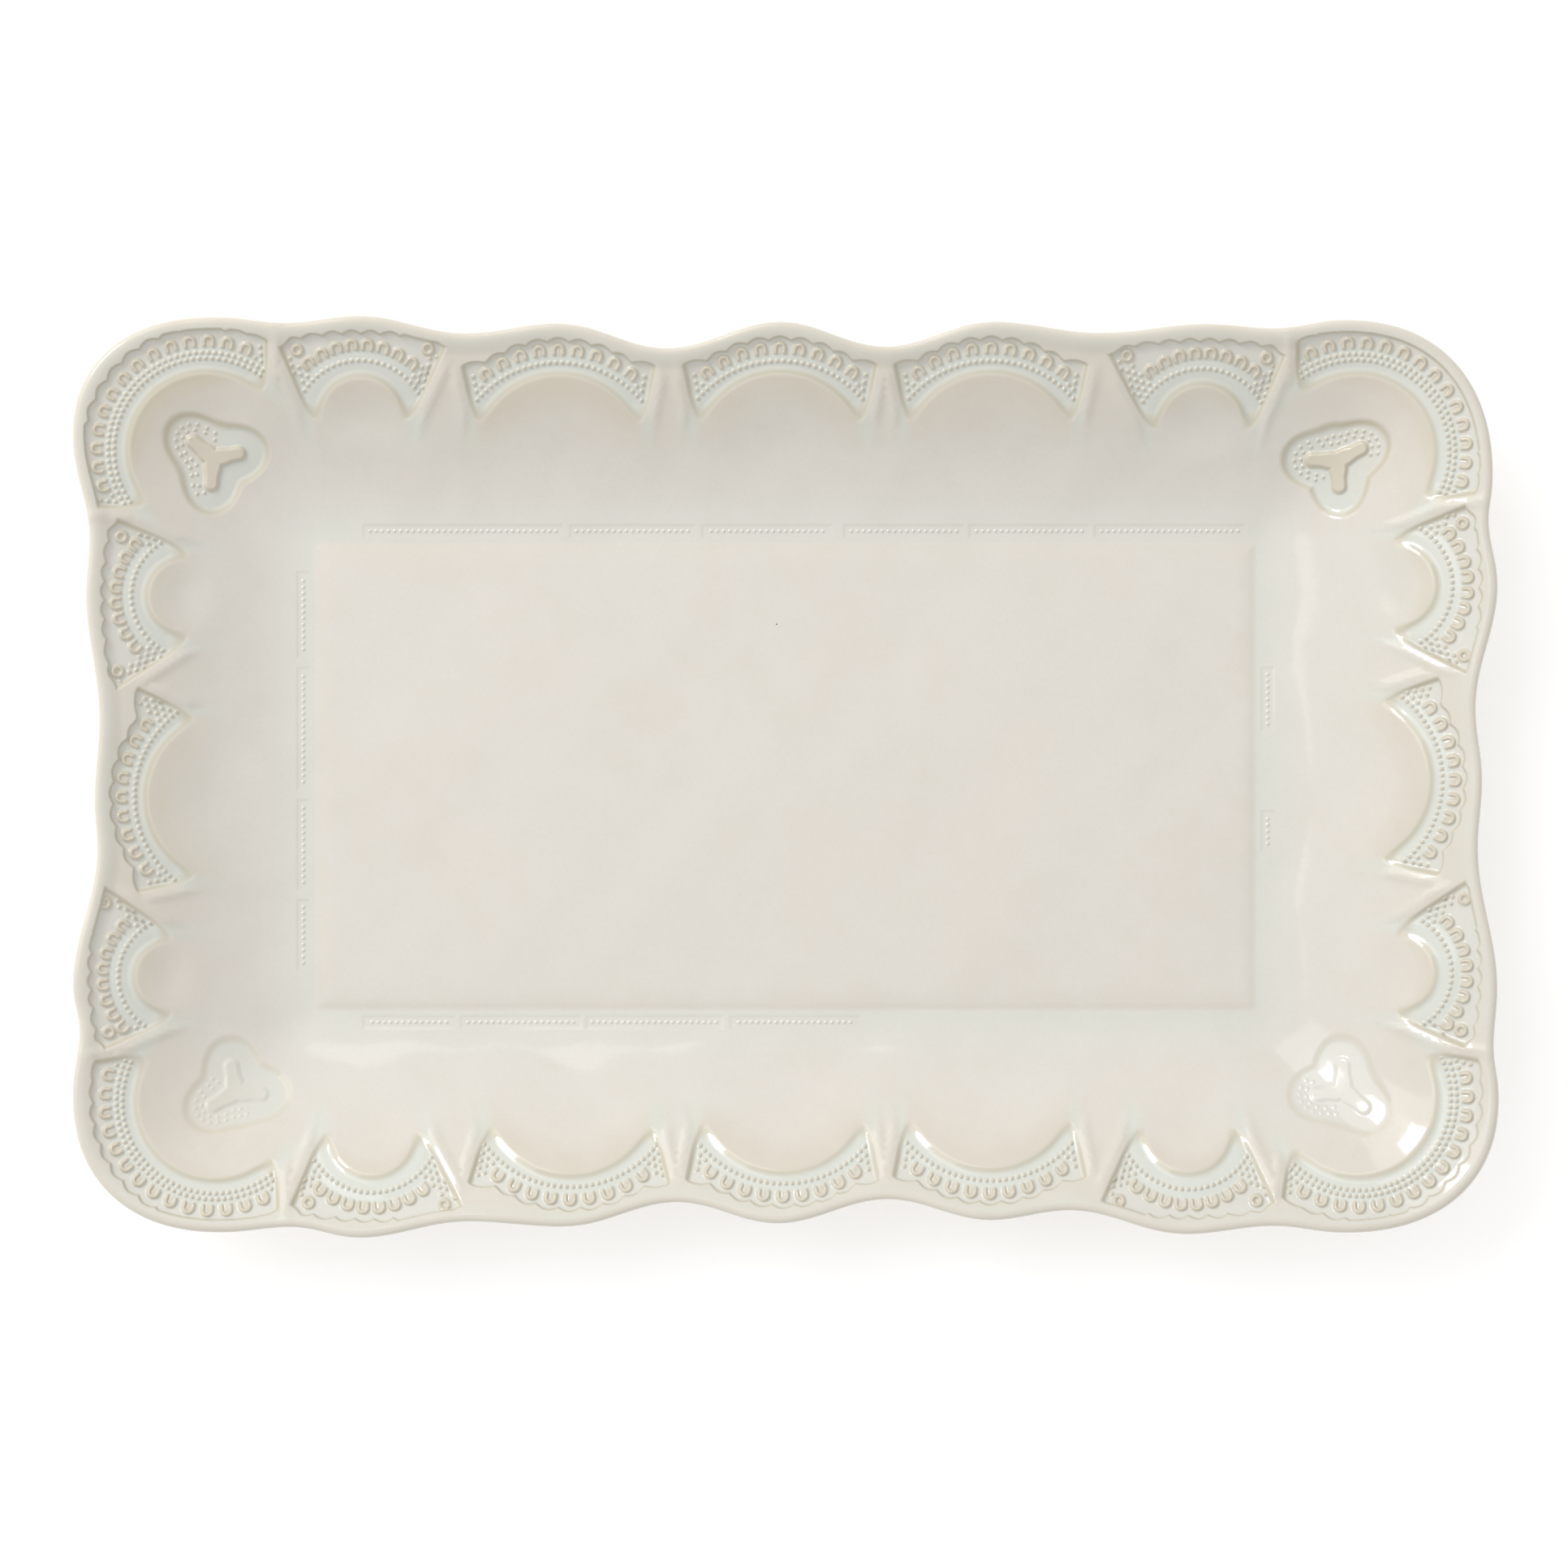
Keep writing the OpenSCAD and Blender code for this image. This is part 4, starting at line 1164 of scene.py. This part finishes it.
@lru_cache
def glaze_material():
    """Glossy cream glaze: milky where it pools, beige where it breaks, brown painted shade, pinholes."""
    board = Board("glaze")
    place = board.node("ShaderNodeTexCoord", output="Object")
    thin = board.node("ShaderNodeAttribute", {"attribute_name": "thin"}, output="Fac")
    pool = board.node("ShaderNodeAttribute", {"attribute_name": "pool"}, output="Fac")
    cloud = board.noise(place, 22.0, 3.0) - 0.5
    drift = board.noise(place, 75.0, 3.0, 0.6) - 0.5
    grain = board.noise(place, 900.0, 2.0) - 0.5
    thin_share = (thin + cloud * 0.35 + drift * 0.3).clamp() * 0.9
    # Painted shade: where the thin share runs past 0.8, the colour turns brown.
    painted_shade = ((thin - 0.8) * 1.1).clamp()
    pool_share = (pool * (1.0 + cloud * 0.8 + drift * 0.5)).clamp()
    base = board.mix(thin_share, colour("cream"), colour("beige"))
    base = board.mix(painted_shade, base, PAINTED_SHADE_BROWN)
    base = board.mix(pool_share, base, colour("milky"))
    rosy = board.mix((cloud * 0.9 + 0.25).clamp(0, 0.5), base, ROSY)
    base = board.mix(pool_share, rosy, base)
    base = board.mix((grain * 0.25 + drift * 0.2 + 0.05).clamp(0, 0.25), base, GRAIN)
    cell = {"Vector": place, "Scale": 48.0, "Randomness": 1.0}
    distance = board.node("ShaderNodeTexVoronoi", {}, cell, output="Distance")
    chance = board.node("ShaderNodeTexVoronoi", {}, cell, output="Color")
    chance = board.node("ShaderNodeSeparateColor", {}, {0: chance}, output=0)
    speck = (distance < 0.012) * (chance > 0.72)
    base = board.mix(speck * 0.85, base, PINHOLE)
    ripple = board.noise(place, 130.0, 2.0)
    swell = board.noise(place, 38.0, 1.0)
    normal = board.node("ShaderNodeBump", {}, {
        "Strength": 0.25, "Distance": 0.0006, "Height": ripple * 0.3 + swell * 0.7 - speck * 0.5})
    shader = board.node("ShaderNodeBsdfPrincipled", {}, {
        "Base Color": base, "Roughness": (0.09 + drift * 0.06).clamp(0.04, 0.2), "IOR": 1.5,
        "Normal": normal})
    return board.finish(shader)


@lru_cache
def clay_material():
    """Bare fired stoneware: warm, matt and grainy."""
    board = Board("bare_clay")
    place = board.node("ShaderNodeTexCoord", output="Object")
    cloud = board.noise(place, 60.0, 4.0) - 0.5
    grain = board.noise(place, 1500.0, 3.0, 0.7) - 0.5
    base = board.mix((cloud + 0.4).clamp(), colour("clay"), CLAY_DARK)
    base = board.mix((grain * 1.6 + 0.2).clamp(0, 0.6), base, CLAY_LIGHT)
    normal = board.node("ShaderNodeBump", {}, {"Strength": 0.5, "Distance": 0.0002, "Height": grain})
    shader = board.node("ShaderNodeBsdfPrincipled", {}, {
        "Base Color": base, "Roughness": (0.82 + cloud * 0.1).clamp(), "Normal": normal})
    return board.finish(shader)


@lru_cache
def backdrop_material():
    """Plain white studio floor, with a faint glow that keeps shadows pale."""
    board = Board("studio_white")
    shader = board.node("ShaderNodeBsdfPrincipled", {}, {
        "Base Color": FLOOR_WHITE, "Roughness": 0.9, "Specular IOR Level": 0.1,
        "Emission Color": WHITE, "Emission Strength": FLOOR_GLOW})
    return board.finish(shader)


# ------------------------------------------------------------------ operators


class PLATTER_OT_body(bpy.types.Operator):
    """Builds the glazed body with its rolled lip"""

    bl_idname = "platter.body"
    bl_label = "Glazed body"

    def execute(self, context):
        build_body()
        return {"FINISHED"}


class PLATTER_OT_foot(bpy.types.Operator):
    """Builds the bare foot ring"""

    bl_idname = "platter.foot"
    bl_label = "Foot ring"

    def execute(self, context):
        build_foot_ring()
        return {"FINISHED"}


class PLATTER_OT_lace(bpy.types.Operator):
    """Builds the lace fans along the sides and in the corners"""

    bl_idname = "platter.lace"
    bl_label = "Lace fans"

    def execute(self, context):
        for fan in fans():
            build_panel(fan["name"])
        return {"FINISHED"}


class PLATTER_OT_trefoils(bpy.types.Operator):
    """Builds the trefoils in the corners"""

    bl_idname = "platter.trefoils"
    bl_label = "Trefoils"

    def execute(self, context):
        for trefoil in trefoils():
            build_panel(trefoil["name"])
        return {"FINISHED"}


class PLATTER_OT_strips(bpy.types.Operator):
    """Builds the bead strips round the floor"""

    bl_idname = "platter.strips"
    bl_label = "Bead strips"

    def execute(self, context):
        for strip in strips():
            build_panel(strip["name"])
        return {"FINISHED"}


class PLATTER_OT_stage(bpy.types.Operator):
    """Sets up the floor, the soft studio light and the camera"""

    bl_idname = "platter.stage"
    bl_label = "Stage"

    def execute(self, context):
        scene = context.scene
        mesh = bpy.data.meshes.new("studio_floor")
        corners = [(sx * FLOOR_REACH, sy * FLOOR_REACH, 0) for sx, sy in CORNER_SIGNS]
        mesh.from_pydata(corners, [], [(0, 1, 2, 3)])
        floor = bpy.data.objects.new("studio_floor", mesh)
        mesh.materials.append(backdrop_material())
        scene.collection.objects.link(floor)

        world = bpy.data.worlds.new("studio_air")
        world.use_nodes = True
        air = world.node_tree.nodes["Background"].inputs
        air["Color"].default_value = WHITE
        air["Strength"].default_value = AIR_STRENGTH
        scene.world = world

        azimuth, zenith = math.radians(LIGHT_AZIMUTH), math.radians(LIGHT_ZENITH)
        direction = Vector((math.sin(zenith) * math.cos(azimuth), math.sin(zenith) * math.sin(azimuth),
                            math.cos(zenith)))
        for name, width, power in LIGHTS:
            lamp = bpy.data.lights.new(name, "AREA")
            lamp.shape, lamp.size, lamp.energy = "SQUARE", width, power
            box = bpy.data.objects.new(name, lamp)
            box.location = direction * LIGHT_DISTANCE
            box.rotation_euler = direction.to_track_quat("Z", "Y").to_euler()
            scene.collection.objects.link(box)

        lens = bpy.data.cameras.new("camera")
        lens.sensor_width, lens.lens = SENSOR_MM, LENS_MM
        camera = bpy.data.objects.new("camera", lens)
        camera.location = CAMERA_SPOT
        scene.collection.objects.link(camera)
        scene.camera = camera
        scene.view_settings.view_transform = "Standard"
        return {"FINISHED"}


class PLATTER_PT_panel(bpy.types.Panel):
    """Lists the platter's pieces"""

    bl_idname = "PLATTER_PT_panel"
    bl_label = "Platter"
    bl_space_type = "VIEW_3D"
    bl_region_type = "UI"
    bl_category = "Platter"

    def draw(self, context):
        for group in (context.scene.platter_sizes, context.scene.platter_colours):
            for name in group.__annotations__:
                self.layout.prop(group, name)
        for operator in OPERATORS:
            self.layout.operator(operator.bl_idname)


OPERATORS = (PLATTER_OT_stage, PLATTER_OT_body, PLATTER_OT_foot, PLATTER_OT_lace, PLATTER_OT_trefoils,
             PLATTER_OT_strips)
CLASSES = (PlatterSizes, PlatterColours, *OPERATORS, PLATTER_PT_panel)


def register():
    for made in CLASSES:
        bpy.utils.register_class(made)
    bpy.types.Scene.platter_sizes = PointerProperty(type=PlatterSizes)
    bpy.types.Scene.platter_colours = PointerProperty(type=PlatterColours)


def unregister():
    del bpy.types.Scene.platter_colours
    del bpy.types.Scene.platter_sizes
    for made in reversed(CLASSES):
        bpy.utils.unregister_class(made)


def main():
    """Builds everything in order."""
    register()
    for operator in OPERATORS:
        group, name = operator.bl_idname.split(".")
        getattr(getattr(bpy.ops, group), name)()


if __name__ == "__main__":
    main()
